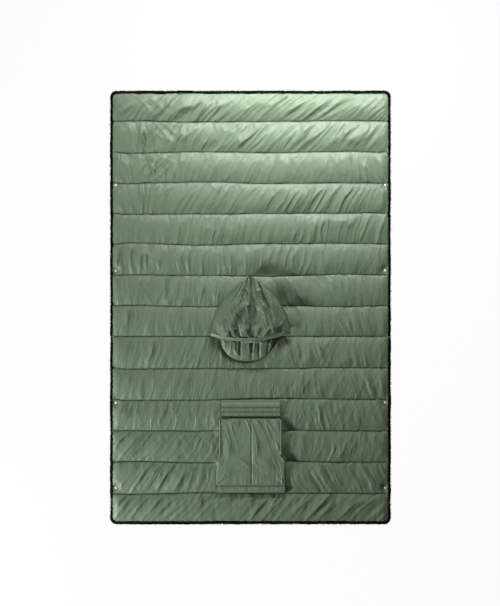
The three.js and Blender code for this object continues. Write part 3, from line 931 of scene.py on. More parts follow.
back_stitching = stitched("back_quilt_stitching", seam_lines(range(1, BACK_CHANNELS)))
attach(back_stitching, "back")
front_stitching = stitched("front_quilt_stitching", seam_lines(range(BACK_CHANNELS + 1, len(SEAMS) - 1)))
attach(front_stitching, "front")
shoulder_stitching = stitched("shoulder_stitching", seam_lines([BACK_CHANNELS]))
across_fold(shoulder_stitching)


# ---------------------------------------------------------------- wadding
def make_batt(number):
    node = f"insulation_{number:02d}"
    low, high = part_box(node)
    body = "back" if number <= BACK_CHANNELS else "front"
    rise = (high.z - low.z) * 0.36

    def place(u, v):
        x = low.x + 0.01 + u * (high.x - low.x - 0.02)
        y = low.y + 0.004 + v * (high.y - low.y - 0.008)
        arch = 4 * v * (1 - v) * smooth(np.minimum(u, 1 - u), 0, 0.05)
        lump = 1 + 0.12 * drift(x, y, 0.05, 0.04, 200 + number)
        z = np.maximum(low.z + 1.2 * MM, low.z + 1.2 * MM + rise * arch * lump - 0.7 * pressed(x, y))
        away = neck_distance(x, y)
        by_neck = np.minimum(z, low.z + 4 * MM + 8 * MM * smooth(away, 1.05, BESIDE_NECK))
        return x, y, np.where(away < BESIDE_NECK, by_neck, z)

    obj = cloth_grid(f"batt_{number:02d}", 110, 12, place)
    points = read_points(obj)
    cut_away(obj, neck_distance(points[:, 0], points[:, 1]) < 1.08)
    use(obj)
    bpy.ops.object.mode_set(mode="EDIT")
    bpy.ops.mesh.select_all(action="SELECT")
    bpy.ops.mesh.extrude_region_move(TRANSFORM_OT_translate={"value": (0, 0, 0)})
    bpy.ops.object.mode_set(mode="OBJECT")
    flattened = read_points(obj)
    chosen = np.empty(len(obj.data.vertices), bool)
    obj.data.vertices.foreach_get("select", chosen)
    flattened[~chosen, 2] = low.z + 0.4 * MM
    write_points(obj, flattened)
    face_outwards(obj)
    shade(obj)
    paint(obj, WADDING)
    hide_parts(node)
    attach(obj, body)


for number in range(1, BACK_CHANNELS + FRONT_CHANNELS + 1):
    make_batt(number)


# ---------------------------------------------------------------- fleece lining and edging
def make_lining(name, node):
    low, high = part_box(node)
    columns = round((high.x - low.x) / 0.0085)
    rows = round((high.y - low.y) / 0.0085)

    def place(u, v):
        x = low.x + u * (high.x - low.x)
        y = low.y + v * (high.y - low.y)
        curls = 1.7 * MM * np.abs(drift(x, y, 0.012, 0.012, 301))
        curls = curls + 1.2 * MM * np.abs(drift(x, y, 0.03, 0.026, 302))
        return x, y, low.z + 0.2 * MM + curls

    obj = cloth_grid(name, columns, rows, place)
    points = read_points(obj)
    reach = np.where(points[:, 1] < FOLD_Y, FOLD_Y - NECK_FRONT[0].y, NECK_BEHIND)
    away = np.hypot((points[:, 0] - NECK_CENTRE.x) / (NECK_FRONT[1].x - NECK_CENTRE.x),
                    (points[:, 1] - FOLD_Y) / reach)
    draw_to_neck(points, away, 1.05)
    write_points(obj, points)
    cut_away(obj, away <= INSIDE_EDGE)
    use(obj)
    bpy.ops.object.mode_set(mode="EDIT")
    bpy.ops.mesh.select_all(action="SELECT")
    bpy.ops.mesh.flip_normals()
    bpy.ops.object.mode_set(mode="OBJECT")
    thicken(obj, 3.2 * MM)
    shade(obj)
    paint(obj, FLEECE)
    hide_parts(node)
    across_fold(obj)


make_lining("back_sherpa_lining", "back_fleece_lining")
make_lining("front_sherpa_lining", "front_fleece_lining")


ROUTE_STEP = 0.0045      # between the points that the edging is rolled along


def edging_route(box, sign):
    """Points round the free sides of one half, with the outward direction at each."""
    border = EDGING_BACK[1].x - LINING[1].x
    x = box[1].x - border / 2 + 1 * MM
    far = box[1].y - border / 2 + 1 * MM if sign > 0 else box[0].y + border / 2 - 1 * MM
    near = FOLD_Y + sign * 0.2 * MM
    radius = 0.022
    step = ROUTE_STEP
    line = []
    for y in np.arange(near, far - sign * radius, sign * step):
        line.append((-x, y, -1, 0))
    for angle in np.linspace(0, math.pi / 2, 8):
        c, s = math.cos(angle), math.sin(angle)
        line.append((-x + radius - radius * c, far - sign * radius * (1 - s), -c, sign * s))
    for along in np.arange(-x + radius + step, x - radius, step):
        line.append((along, far, 0, sign))
    for angle in np.linspace(math.pi / 2, 0, 8):
        c, s = math.cos(angle), math.sin(angle)
        line.append((x - radius + radius * c, far - sign * radius * (1 - s), c, sign * s))
    for y in np.arange(far - sign * radius, near, -sign * step):
        line.append((x, y, 1, 0))
    line.append((x, near, 1, 0))
    return np.array(line)


EDGE_SIDES = 12


def curl(origin, lean, length, radius, twist):
    """One lock of pile: a bent, tapering three-sided strand."""
    points, faces = [], []
    across = np.cross(lean, (0, 0, 1.0))
    across /= np.linalg.norm(across) + 1e-9
    for ring, share in enumerate((0, 0.4, 0.75, 1.0)):
        bend = math.sin(share * 2.4) * 0.35 * length
        at = origin + lean * length * share + across * bend * twist
        size = radius * (1.1 - share * 0.75)
        for turn in range(3):
            angle = turn * math.tau / 3 + share
            points.append(at + size * (across * math.cos(angle) + np.array((0, 0, 1.0)) * math.sin(angle)))
    for ring in range(3):
        for turn in range(3):
            a, b = ring * 3 + turn, ring * 3 + (turn + 1) % 3
            faces.append((a, b, b + 3, a + 3))
    faces.append((2, 1, 0))
    faces.append((9, 10, 11))
    return points, faces


def make_edging(name, node, box, sign, seed):
    route = edging_route(box, sign)
    half_wide = 9.5 * MM
    half_high = (box[1].z - box[0].z) / 2
    count = len(route)

    def place(u, v):
        i = np.round(v * (count - 1)).astype(int)
        angle = u * math.tau
        x, y, nx, ny = route[i].T
        travel = i * ROUTE_STEP
        ruffle = 1 + 0.17 * drift(travel, angle * 0.01, 0.013, 0.012, seed)
        ruffle = ruffle + 0.15 * drift(travel, angle * 0.01, 0.05, 0.02, seed + 1)
        out = np.cos(angle) * half_wide * ruffle + 1.9 * MM * drift(travel, 0 * travel, 0.09, 1, seed + 2)
        up = np.sin(angle) * half_high * np.minimum(ruffle, 1.0)
        return x + nx * out, y + ny * out, box[0].z + half_high + up

    roll = cloth_grid(name + "_roll", EDGE_SIDES, count - 1, place)
    close_tube(roll, EDGE_SIDES, 0.00005)
    rng = np.random.RandomState(seed)
    points, faces = [], []
    for i in range(4, count - 4):
        for _ in range(3):
            x, y, nx, ny = route[i]
            angle = rng.uniform(-0.35, 2.2)
            normal = np.array((nx * math.cos(angle), ny * math.cos(angle), math.sin(angle)))
            shift = np.array((-ny, nx, 0)) * rng.uniform(-1, 1) * 0.002
            origin = np.array((x, y, box[0].z + half_high)) + shift
            origin += np.array((nx, ny, 0)) * math.cos(angle) * half_wide * 0.85
            origin[2] += math.sin(angle) * half_high * 0.8
            lean = normal + np.array((-ny, nx, 0)) * rng.uniform(-0.8, 0.8)
            lean /= np.linalg.norm(lean)
            length = rng.uniform(3.2, 7.6) * MM
            more, more_faces = curl(origin, lean, length, 1.25 * MM, rng.choice((-1, 1)))
            base = len(points)
            points += more
            faces += [tuple(base + k for k in face) for face in more_faces]
    locks = from_arrays(name + "_locks", points, faces)
    face_outwards(locks)
    obj = join(name, [roll, locks])
    shade(obj)
    paint(obj, FLEECE)
    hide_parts(node)
    across_fold(obj)
    return obj


make_edging("back_sherpa_edging", "back_fleece_edging", EDGING_BACK, 1, 401)
make_edging("front_sherpa_edging", "front_fleece_edging", EDGING_FRONT, -1, 431)


# ---------------------------------------------------------------- neck binding
def make_neck_binding(name, node, box, sign):
    across = (box[1].x - box[0].x) / 2 - 1.75 * MM
    depth = (box[1].y - box[0].y) - 1.75 * MM
    low, high = box[0].z + 0.5 * MM, SEAM_Z + 6 * MM

    def place(u, v):
        angle = v * math.pi
        around = u * math.tau
        thick = 1.5 * MM * np.cos(around)
        z = (low + high) / 2 + (high - low) / 2 * np.sin(around)
        z = z + 0.5 * MM * drift(angle * 0.1, around * 0.02, 0.012, 0.04, 500)
        x = NECK_CENTRE.x + (across + thick) * np.cos(angle)
        return x, FOLD_Y + sign * (0.2 * MM + (depth + thick) * np.sin(angle)), z

    obj = cloth_grid(name, 14, 90, place)
    close_tube(obj, 14)
    shade(obj)
    paint(obj, TAPE)
    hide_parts(node)
    across_fold(obj)


make_neck_binding("neck_binding_tape_back", "neck_binding_back", NECK_BACK, 1)
make_neck_binding("neck_binding_tape_front", "neck_binding_front", NECK_FRONT, -1)


# ---------------------------------------------------------------- chin piece
def make_chin():
    across = NECK_ACROSS - 1.5 * MM
    ahead = NECK_AHEAD - 1.5 * MM
    top = CHIN[1].y
    kept = []

    def place(u, v):
        """u runs across, v from the outline at the front to the tucked edge under the rim."""
        angle = math.pi * (1 + 0.004 + u * 0.992)
        rim_x = NECK_CENTRE.x + across * np.sign(np.cos(angle)) * np.abs(np.cos(angle)) ** 0.86
        rim_y = FOLD_Y + ahead * -np.abs(np.sin(angle)) ** 0.86
        y_top = np.full_like(u, top + 6 * MM)
        y = rim_y + (y_top - rim_y) * v
        x = rim_x + (NECK_CENTRE.x + (rim_x - NECK_CENTRE.x) * 0.93 - rim_x) * v
        puff = np.sin(np.clip(v * 1.5, 0, 1) * math.pi / 2) ** 0.6
        sides = np.clip(1 - np.abs(2 * u - 1) ** 5, 0, 1)
        tucks = 0
        for tuck_x, lean in ((-0.036, 0.0), (0.022, 0.04), (0.058, 0.03), (0.096, 0.15)):
            line = x - NECK_CENTRE.x - tuck_x - lean * (y - rim_y.min())
            line = line + 3.5 * MM * drift(x, y, 0.05, 0.04, 612)
            tucks = tucks + np.exp(-(line / 0.0065) ** 2)
        fine = crease(x, y, 0.024, 0.06, 611) - 0.4
        deep = np.sin(np.clip(v * 1.9, 0, 1) * math.pi / 2)
        z = SEAM_Z + 5 * MM + puff * sides * 27 * MM - sides * deep * (6.5 * MM * tucks - 5 * MM * fine)
        # Painted shade along the chin piece's front outline and in its tucks.
        kept.append((np.exp(-(v / 0.035) ** 2) + 0.12 * tucks * deep, np.stack([x, y, z], 1)))
        return x, y, np.clip(z, SEAM_Z + 4 * MM, CHIN[1].z + 3 * MM)

    obj = cloth_grid("chin_piece_gathered", 150, 60, place)
    mark(obj, *kept[0])
    thicken(obj, 2.0 * MM)
    shade(obj)
    paint(obj, NYLON)
    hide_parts("chin_piece")
    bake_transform(obj)


make_chin()


# ---------------------------------------------------------------- hood
HOOD_HALF = BAND[1].x
HOOD_PEAK = HOOD_LEFT[1].y
HOOD_TOP = HOOD_LEFT[1].z
MOUTH_CENTRE = HOOD_LEFT[0].y
MOUTH_SAG = BAND[1].y - MOUTH_CENTRE
HOOD_EDGE_Z = REST_Z + 10 * MM


def hood_mouth(x):
    """The front edge of the panels: lowest in the middle, and a little lower at the left end."""
    skew = -7 * MM * (x / HOOD_HALF)
    return MOUTH_CENTRE + MOUTH_SAG * (x / HOOD_HALF) ** 2 - skew


def hood_half_width(y):
    share = np.clip((HOOD_PEAK - y) / (HOOD_PEAK - MOUTH_CENTRE - MOUTH_SAG), 0.004, 1)
    return HOOD_HALF * np.sin(math.pi / 2 * share) ** 0.78


def hood_surface(u, v):
    """The hood's outside: u from -1 at the left to 1, v from the mouth to the peak."""
    y = hood_mouth(u * HOOD_HALF) * (1 - v) + HOOD_PEAK * v
    across = np.clip(1 - np.abs(u) ** 2.2, 0, 1) ** 0.6
    along = np.clip(0.75 + 1.1 * v - 1.72 * v * v, 0.1, None)
    z = HOOD_EDGE_Z + (HOOD_TOP - HOOD_EDGE_Z) * across * along * 1.02
    return u * hood_half_width(y), y, z


def hood_folds(x, y, u, v):
    """Loose folds that fan out from the peak and crumple above the rim."""
    seam = np.exp(-np.abs(u) / 0.05)
    fan = np.arctan2(x + 11 * MM * drift(x, y, 0.1, 0.07, 699), HOOD_PEAK + 0.05 - y)
    near_rim = np.clip(1 - v * 1.7, 0, 1)
    waves = drift(fan, y, 0.16, 0.22, 698)
    long_folds = crease(fan, y, 0.13, 0.16, 700) - 0.4
    low_folds = crease(x - 0.55 * np.tanh(x / 0.02) * (y - MOUTH_CENTRE), y, 0.032, 0.13, 701) - 0.4
    fine = crease(x + 0.3 * y, y, 0.016, 0.07, 702) - 0.4
    lift = 14 * MM * waves + 17 * MM * long_folds + 15 * MM * low_folds * near_rim + 5 * MM * fine
    edge = np.clip(1 - np.abs(u) ** 6, 0, 1)
    ridge = 5 * MM * np.exp(-((np.abs(x) - 0.012) / 0.008) ** 2) * smooth(v, 0.2, 0.6)
    hollow = 20 * MM * np.exp(-((x + 0.06) / 0.024) ** 2 - ((y - MOUTH_CENTRE - 0.07) / 0.045) ** 2)
    hollow = hollow + 11 * MM * np.exp(-((x - 0.05) / 0.03) ** 2 - ((y - MOUTH_CENTRE - 0.1) / 0.05) ** 2)
    return (lift - hollow) * edge * (1 - seam) + ridge - 4 * MM * seam * smooth(1 - v, 0, 0.1)


def hood_outside(u, v):
    """The hood's outside with its folds, whose ridges flatten out under the height the hood has."""
    x, y, z = hood_surface(u, v)
    z = z + hood_folds(x, y, u, v)
    limit = HOOD_TOP + 9 * MM
    ease = 2 * MM
    return x, y, limit - ease * np.log1p(np.exp((limit - z) / ease))


def seam_line_x(y):
    """The centre seam strays a little as the crown sags."""
    return 3.5 * MM * drift(y, 0 * y, 0.1, 1, 707) * smooth(HOOD_PEAK - y, 0, 0.06)


def hood_blend(obj):
    """Bakes the piece's transform into its mesh."""
    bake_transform(obj)


def make_hood_panel(name, node, side):
    kept = []

    def place(u, v):
        across = side * u if side > 0 else u - 1
        x, y, z = hood_outside(across, v)
        ends = 3.5 * MM * drift(v * 0.3, 0 * v, 0.03, 1, 705 + side) * smooth(np.abs(across), 0.9, 1)
        # Painted shade along the centre seam and round the panel's outline.
        seam = np.exp(-(x / 0.0024) ** 2) * (0.3 + 0.45 * smooth(drift(y, 0 * y, 0.05, 1, 708), -0.5, 0.5))
        outline = np.exp(-((1 - np.abs(across)) * HOOD_HALF / 0.007) ** 2)
        kept.append((seam + 0.75 * outline, np.stack([x * 0.7, y, z], 1)))
        shift = seam_line_x(y) * np.exp(-np.abs(x) / 0.04)
        return x + side * (0.1 * MM + ends) + shift, y, z

    obj = cloth_grid(name, 110, 130, place)
    mark(obj, *kept[0])
    thicken(obj, 1.2 * MM)
    shade(obj)
    paint(obj, NYLON_HOOD_SHADED)
    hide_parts(node)
    hood_blend(obj)


make_hood_panel("hood_panel_left", "hood_left_panel", -1)
make_hood_panel("hood_panel_right", "hood_right_panel", 1)


def make_hood_nape():
    def place(u, v):
        y = NAPE[0].y + v * (HOOD_PEAK - 2 * MM - NAPE[0].y)
        across = 2 * u - 1
        x = across * (hood_half_width(y) - 1.5 * MM)
        tucked = smooth(np.abs(across), 0.75, 1)
        sewn = (1 - smooth(y, NAPE[0].y, NAPE[0].y + 0.018)) * (1 - smooth(np.abs(x), 0.1, 0.14))
        z = NAPE[0].z + 1.2 * MM + tucked * 5 * MM + 1.0 * MM * drift(x, y, 0.03, 0.05, 720)
        return x, y, z - sewn * (NAPE[0].z - SEAM_Z - 8 * MM)

    obj = cloth_grid("hood_nape", 60, 50, place)
    points = read_points(obj)
    mark(obj, np.zeros(len(points)), points)
    thicken(obj, 1.0 * MM)
    shade(obj)
    paint(obj, NYLON_HOOD_SHADED)
    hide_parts("hood_nape_panel")
    hood_blend(obj)


make_hood_nape()


def make_hood_lining():
    """One sheet that runs in from the rim under the crown to the peak and back along the nape."""
    turn = 0.56

    def place(u, v):
        across = (2 * u - 1) * 0.96
        upper = np.clip(v / turn, 0, 1)
        x_top, y_top, z_top = hood_surface(across, upper * 0.93)
        lower = np.clip((v - turn) / (1 - turn), 0, 1)
        y_peak = hood_mouth(across * HOOD_HALF) * 0.07 + HOOD_PEAK * 0.93
        y_low = y_peak + (NAPE[0].y + 2 * MM - y_peak) * lower
        x_low = across * (hood_half_width(y_low) - 4 * MM)
        pile = 0.9 * MM * drift(x_top, y_top + v * 0.1, 0.011, 0.011, 740)
        is_top = v <= turn
        floor = NAPE[1].z + 4.5 * MM
        z = np.where(is_top, np.maximum(z_top - 25 * MM, floor), floor)
        return np.where(is_top, x_top, x_low), np.where(is_top, y_top, y_low), z + pile

    obj = cloth_grid("hood_sherpa_lining", 70, 120, place)
    thicken(obj, 3 * MM, 0)
    shade(obj)
    paint(obj, FLEECE)
    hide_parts("hood_fleece_lining")
    hood_blend(obj)


make_hood_lining()


def mouth_strip(name, node, low_x, high_x, inner, outer, drop, thick, material, seed):
    """A folded strip along the mouth, from inner to outer metres in front of the panels' edge."""
    def place(u, v):
        x = low_x + v * (high_x - low_x)
        _, edge_y, edge_z = hood_surface(np.clip(x / HOOD_HALF, -1, 1), 0 * x)
        around = u * math.tau
        middle = (inner + outer) / 2
        reach = (outer - inner) / 2
        ahead = middle - reach * np.sign(np.cos(around)) * np.abs(np.cos(around)) ** 0.6
        wave = 1.3 * MM * drift(x, 0 * x, 0.045, 1, seed)
        lift = thick / 2 * np.sign(np.sin(around)) * np.abs(np.sin(around)) ** 0.8
        dimple = 0.5 * MM * drift(x, around * 0.02, 0.014, 0.03, seed + 1)
        slope = (ahead - inner) * 0.5
        z = edge_z - drop + lift + wave + dimple - slope
        tuck = smooth(np.abs(v - 0.5), 0.47, 0.5)
        return x, edge_y - ahead - 0.6 * wave - tuck * 0.5 * MM, np.maximum(z, REST_Z + 1.5 * MM)

    obj = cloth_grid(name, 16, 150, place)
    close_tube(obj, 16)
    shade(obj)
    paint(obj, material)
    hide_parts(node)
    hood_blend(obj)


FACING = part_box("hood_rim_facing")
mouth_strip("hood_rim", "hood_rim_band", -HOOD_HALF, HOOD_HALF, -1.5 * MM, 15 * MM, 0.5 * MM, 6.5 * MM,
            NYLON_TRIM, 760)
mouth_strip("hood_facing", "hood_rim_facing", FACING[0].x, FACING[1].x, 13.5 * MM, 23 * MM, 5 * MM, 4 * MM,
            NYLON_TRIM, 770)


def hood_stitching():
    v = np.linspace(0.02, 0.97, 120)
    lines = []
    for offset in (-0.012, 0.012):
        x, y, z = hood_outside(np.full_like(v, offset), v)
        lines.append(np.stack([x + seam_line_x(y), y, z + 0.5 * MM], 1))
    obj = stitched("hood_seam_stitching", lines, 3.6 * MM, 0.45 * MM)
    hood_blend(obj)


hood_stitching()


# ---------------------------------------------------------------- pocket
ZIP_Y = (ZIP[0].y + ZIP[1].y) / 2
HALF_TOP = YOKE[1].x
HALF_LOW = PANEL[1].x
FLARE_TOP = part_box("pocket_binding_left")[0].y
FLARE_LOW = FLARE_TOP - 0.03


def pocket_half_width(y):
    return HALF_TOP + (HALF_LOW - HALF_TOP) * smooth(FLARE_TOP - y, 0, FLARE_TOP - FLARE_LOW)


def pocket_height(u, y):
    top, bottom = PANEL[1].y, PANEL[0].y
    share = np.clip((top - y) / (top - bottom), 0, 1)
    along = np.sin(math.pi * share) ** 0.5
    sewn = smooth(FLARE_TOP - y, 0, 0.06)
    across = np.sqrt(np.clip(1 - np.abs(u) ** 4, 0, 1))
    return PANEL[0].z + 9 * MM * along * (1 - sewn + sewn * across)


def pocket_folds(x, y):
    """A pressed crease down the middle, pulls from the lower corners and loose folds between."""
    centre = x - 4 * MM - 3 * MM * drift(y, 0 * y, 0.12, 1, 801)
    fold = np.exp(-(centre / 0.004) ** 2)
    bent = x + 22 * MM * drift(x, y, 0.13, 0.09, 807)
    corner_x = np.sign(x) * HALF_LOW
    to_corner = np.arctan2(y - PANEL[0].y, np.abs(corner_x - x) + 0.004) + 0.03 * drift(x, y, 0.1, 0.1, 808)
    close = np.exp(-np.hypot(x - corner_x, y - PANEL[0].y) / 0.09)
    pulls = (crease(to_corner, 0 * x, 0.13, 1, 802) - 0.4) * close
    below_top = PANEL[1].y - y
    top_pulls = (crease(bent - 0.35 * below_top, y, 0.024, 0.12, 803) - 0.4) * np.exp(-below_top / 0.09)
    loose = crease(bent + 0.4 * y, y, 0.045, 0.16, 804) - 0.4
    middle = np.clip(1 - np.abs(y - FLARE_TOP - 0.03) / 0.11, 0, 1)
    low = (crease(x, y, 0.02, 0.05, 805) - 0.4) * np.exp(-(y - PANEL[0].y) / 0.03)
    slack = drift(bent - 0.3 * y, y, 0.05, 0.09, 806)
    return (-4 * fold + 5 * pulls + 6 * top_pulls + 8 * loose * middle + 5 * low + 3 * slack) * MM


def make_pocket_panel():
    kept = []

    def place(u, v):
        y = PANEL[0].y + v * (PANEL[1].y - PANEL[0].y)
        across = 2 * u - 1
        x = across * pocket_half_width(y)
        # Painted shade along the pocket's sides and foot.
        rim = np.minimum((1 - np.abs(across)) * HALF_LOW, y - PANEL[0].y + 0.001)
        kept.append((np.exp(-(rim / 0.0032) ** 2), np.stack([x, y, 0 * x], 1)))
        edge = np.clip(np.minimum(v, 1 - v) * 18, 0, 1) * np.clip((1 - np.abs(across)) * 12, 0.15, 1)
        z = pocket_height(across, y) + pocket_folds(x, y) * edge + 1.2 * MM
        return x, y, z

    obj = cloth_grid("pocket_front", 140, 140, place)
    mark(obj, *kept[0])
    thicken(obj, 1.2 * MM)
    shade(obj)
    paint(obj, NYLON)
    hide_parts("pocket_panel")
    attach(obj, "front")


make_pocket_panel()


def pocket_strip(name, node, lip, seed, wide=None):
    """A sewn-down strip with its lower edge folded under, proud of the strip below it."""
    low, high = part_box(node)
    half = wide or (high.x - low.x) / 2
    deep = high.y - low.y

    def place(u, v):
        y = low.y + v * deep
        x = (2 * u - 1) * half
        roll = lip * np.sqrt(np.clip(1 - ((v - 0.22) / 0.22) ** 2, 0, 1)) * (v < 0.22)
        flat = lip * (1 - 0.75 * smooth(v, 0.22, 1)) * (v >= 0.22)
        fold = 2.2 * MM * (crease(x + 0.2 * y, y, 0.022, 0.08, seed) - 0.4) * np.sin(math.pi * v)
        wave = 0.8 * MM * drift(x, 0 * x, 0.06, 1, seed + 1)
        z = low.z + 0.8 * MM + roll + flat + fold
        for seam_y, _ in POCKET_SEAMS:
            width = 0.013 if seam_y > ZIP_Y else 0.007
            z = z - (low.z - SEAM_Z - 3 * MM) * np.exp(-(np.abs(y - seam_y) / width) ** 1.5)
        return x, y + wave * (1 - v), z

    obj = cloth_grid(name, 110, 16, place)
    points = read_points(obj)
    # Painted shade along the strip's ends and its folded lower edge.
    edge = np.minimum(half - np.abs(points[:, 0]), points[:, 1] - low.y)
    mark(obj, np.exp(-(edge / 0.0028) ** 2), points)
    thicken(obj, 0.8 * MM)
    shade(obj)
    paint(obj, NYLON)
    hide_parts(node)
    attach(obj, "front")


pocket_strip("pocket_yoke_strip", "pocket_yoke", 3.2 * MM, 820)
pocket_strip("pocket_pleat_strip", "pocket_pleat", 3.0 * MM, 824)
pocket_strip("pocket_placket_strip", "pocket_zip_placket", 3.0 * MM, 828)
pocket_strip("pocket_hem_strip", "pocket_hem", 1.2 * MM, 832)


def make_pocket_binding(name, node, side):
    low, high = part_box(node)
    middle = (low.x + high.x) / 2 - side * 2.5 * MM

    def place(u, v):
        y = low.y + v * (high.y - low.y)
        around = u * math.tau
        x = middle + 3.6 * MM * np.cos(around) + 0.8 * MM * drift(y, 0 * y, 0.05, 1, 850)
        z = pocket_height(side, y) + 0.8 * MM + 2.4 * MM * np.sin(around)
        return x, y, z + 0.4 * MM * drift(y, around * 0.01, 0.012, 0.02, 851)

    obj = cloth_grid(name, 12, 70, place)
    close_tube(obj, 12)
    shade(obj)
    paint(obj, NYLON_TRIM)
    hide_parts(node)
    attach(obj, "front")


make_pocket_binding("hand_opening_left", "pocket_binding_left", -1)
make_pocket_binding("hand_opening_right", "pocket_binding_right", 1)


def pocket_stitching():
    lines = []
    hem = POCKET_HEM
    for side in (-1, 1):
        y = np.linspace(hem[0].y + 2 * MM, FLARE_LOW, 60)
        x = side * (HALF_LOW - 3 * MM) + 0 * y
        inside = y > PANEL[0].y
        z = np.where(inside, pocket_height(np.full_like(y, 0.97), y) + 2.2 * MM, hem[0].z + 3.2 * MM)
        lines.append(np.stack([x, y, z], 1))
    x = np.linspace(-HALF_LOW + 3 * MM, HALF_LOW - 3 * MM, 80)
    y = np.full_like(x, PANEL[0].y + 4 * MM)
    lines.append(np.stack([x, y, pocket_height(x / HALF_LOW, y) + 2.4 * MM], 1))
    for node in ("pocket_yoke", "pocket_pleat", "pocket_zip_placket"):
        low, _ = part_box(node)
        x = np.linspace(-HALF_TOP + 2 * MM, HALF_TOP - 2 * MM, 80)
        lines.append(np.stack([x, np.full_like(x, low.y + 7 * MM), np.full_like(x, low.z + 4.6 * MM)], 1))
    obj = stitched("pocket_stitching", lines, 3.2 * MM, 0.4 * MM)
    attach(obj, "front")


pocket_stitching()


# ---------------------------------------------------------------- zip
def rounded_block(name, low, high, bevel, segments=3):
    """A box with rounded edges, at its place."""
    centre = (Vector(low) + Vector(high)) / 2
    bpy.ops.mesh.primitive_cube_add(size=1, location=centre)
    obj = bpy.context.object
    obj.name = name
    obj.scale = Vector(high) - Vector(low)
    settle_place(obj)
    use(obj)
    bpy.ops.object.mode_set(mode="EDIT")
    bpy.ops.mesh.select_all(action="SELECT")
    bpy.ops.mesh.bevel(offset=bevel, segments=segments, affect="EDGES")
    bpy.ops.object.mode_set(mode="OBJECT")
    deselect()
    return obj


def make_tape(name, node, side):
    low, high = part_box(node)

    def place(u, v):
        x = low.x + u * (high.x - low.x)
        y = low.y + v * (high.y - low.y)
        cord = (1 - v) if side > 0 else v
        bead = 0.5 * MM * np.exp(-((cord - 0.95) / 0.06) ** 2)
        return x, y, low.z + 0.5 * MM + bead + 0.2 * MM * drift(x, y, 0.03, 0.01, 900)

    obj = cloth_grid(name, 140, 12, place)
    thicken(obj, 0.4 * MM)
    shade(obj)
    paint(obj, TAPE)
    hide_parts(node)
    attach(obj, "front")


make_tape("zip_tape_top", "zip_tape_upper", 1)
make_tape("zip_tape_bottom", "zip_tape_lower", -1)


def make_coil():
    """Two rows of meshed coil loops: one loop is modelled and copied along the tape."""
    pitch = 1.5 * MM
    radius = 1.25 * MM
    points, faces = [], []
    count = int((ZIP[1].x - ZIP[0].x) / pitch)
    middle_z = (ZIP[0].z + ZIP[1].z) / 2
    sides, sections = 5, 9
    for row in (-1, 1):
        for number in range(count):
            x = ZIP[0].x + (number + 0.5 + 0.25 * row) * pitch
            base = len(points)
            for k in range(sections):
                angle = -2.5 + 5.0 * k / (sections - 1)
                c, s = math.cos(angle), math.sin(angle)
                y = ZIP_Y + row * (1.3 * MM - 1.25 * radius * c)
                centre = np.array((x, y, middle_z + radius * 0.95 * s))
                out = np.array((0, -row * c, s))
                side = np.array((1, 0, 0))
                for j in range(sides):
                    turn = j * math.tau / sides
                    points.append(centre + 0.42 * MM * (out * math.cos(turn) + side * math.sin(turn)))
            for k in range(sections - 1):
                for j in range(sides):
                    a, b = base + k * sides + j, base + k * sides + (j + 1) % sides
                    faces.append((a, b, b + sides, a + sides))
            faces.append(tuple(base + j for j in reversed(range(sides))))
            faces.append(tuple(base + (sections - 1) * sides + j for j in range(sides)))
    obj = from_arrays("zip_coil_loops", points, faces)
    face_outwards(obj)
    shade(obj)
    paint(obj, COIL)
    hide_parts("zip_coil")
    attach(obj, "front")


make_coil()


def make_stop(name, node):
    low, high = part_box(node)
    inset = Vector((0, 0.3 * MM, 0.2 * MM))
    obj = rounded_block(name, low + inset, high - inset, 0.8 * MM)
    shade(obj, 40)
    paint(obj, STEEL)
    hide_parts(node)
    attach(obj, "front")


make_stop("zip_end_stop_left", "zip_stop_left")
make_stop("zip_end_stop_right", "zip_stop_right")


def make_slider():
    low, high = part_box("zip_slider")
    centre = (low + high) / 2
    coil_top = ZIP[1].z
    deck = rounded_block("deck", (low.x, low.y, coil_top + 0.4 * MM),
                         (high.x, high.y, coil_top + 2 * MM), 0.7 * MM)
    use(deck)
    bpy.ops.object.mode_set(mode="EDIT")
    bpy.ops.mesh.select_all(action="DESELECT")
    bpy.ops.object.mode_set(mode="OBJECT")
    points = read_points(deck)
    toe = points[:, 0] > centre.x
    share = np.clip((points[:, 0] - centre.x) / (high.x - centre.x), 0, 1)
    points[:, 1] = np.where(toe, ZIP_Y + (points[:, 1] - ZIP_Y) * (1 - 0.28 * share ** 2), points[:, 1])
    write_points(deck, points)
    parts = [deck]
    for side in (-1, 1):
        inner = ZIP_Y + side * (high.y - ZIP_Y - 0.9 * MM)
        outer = ZIP_Y + side * (high.y - ZIP_Y)
        parts.append(rounded_block("flange", (low.x + 0.5 * MM, min(inner, outer), low.z + 0.1 * MM),
                                   (centre.x + 2.5 * MM, max(inner, outer), coil_top + 1 * MM), 0.35 * MM))
        foot = centre.x + side * 3 * MM
        parts.append(rounded_block("foot", (foot - 0.8 * MM, ZIP_Y - 1.5 * MM, coil_top + 1.4 * MM),
                                   (foot + 0.8 * MM, ZIP_Y + 1.5 * MM, high.z - 0.4 * MM), 0.4 * MM))
    parts.append(rounded_block("bridge", (centre.x - 3.8 * MM, ZIP_Y - 1.5 * MM, high.z - 1.1 * MM),
                               (centre.x + 3.8 * MM, ZIP_Y + 1.5 * MM, high.z), 0.45 * MM))
    obj = join("zip_slider_body", parts)
    shade(obj, 40)
    paint(obj, STEEL)
    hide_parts("zip_slider")
    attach(obj, "slider")


make_slider()


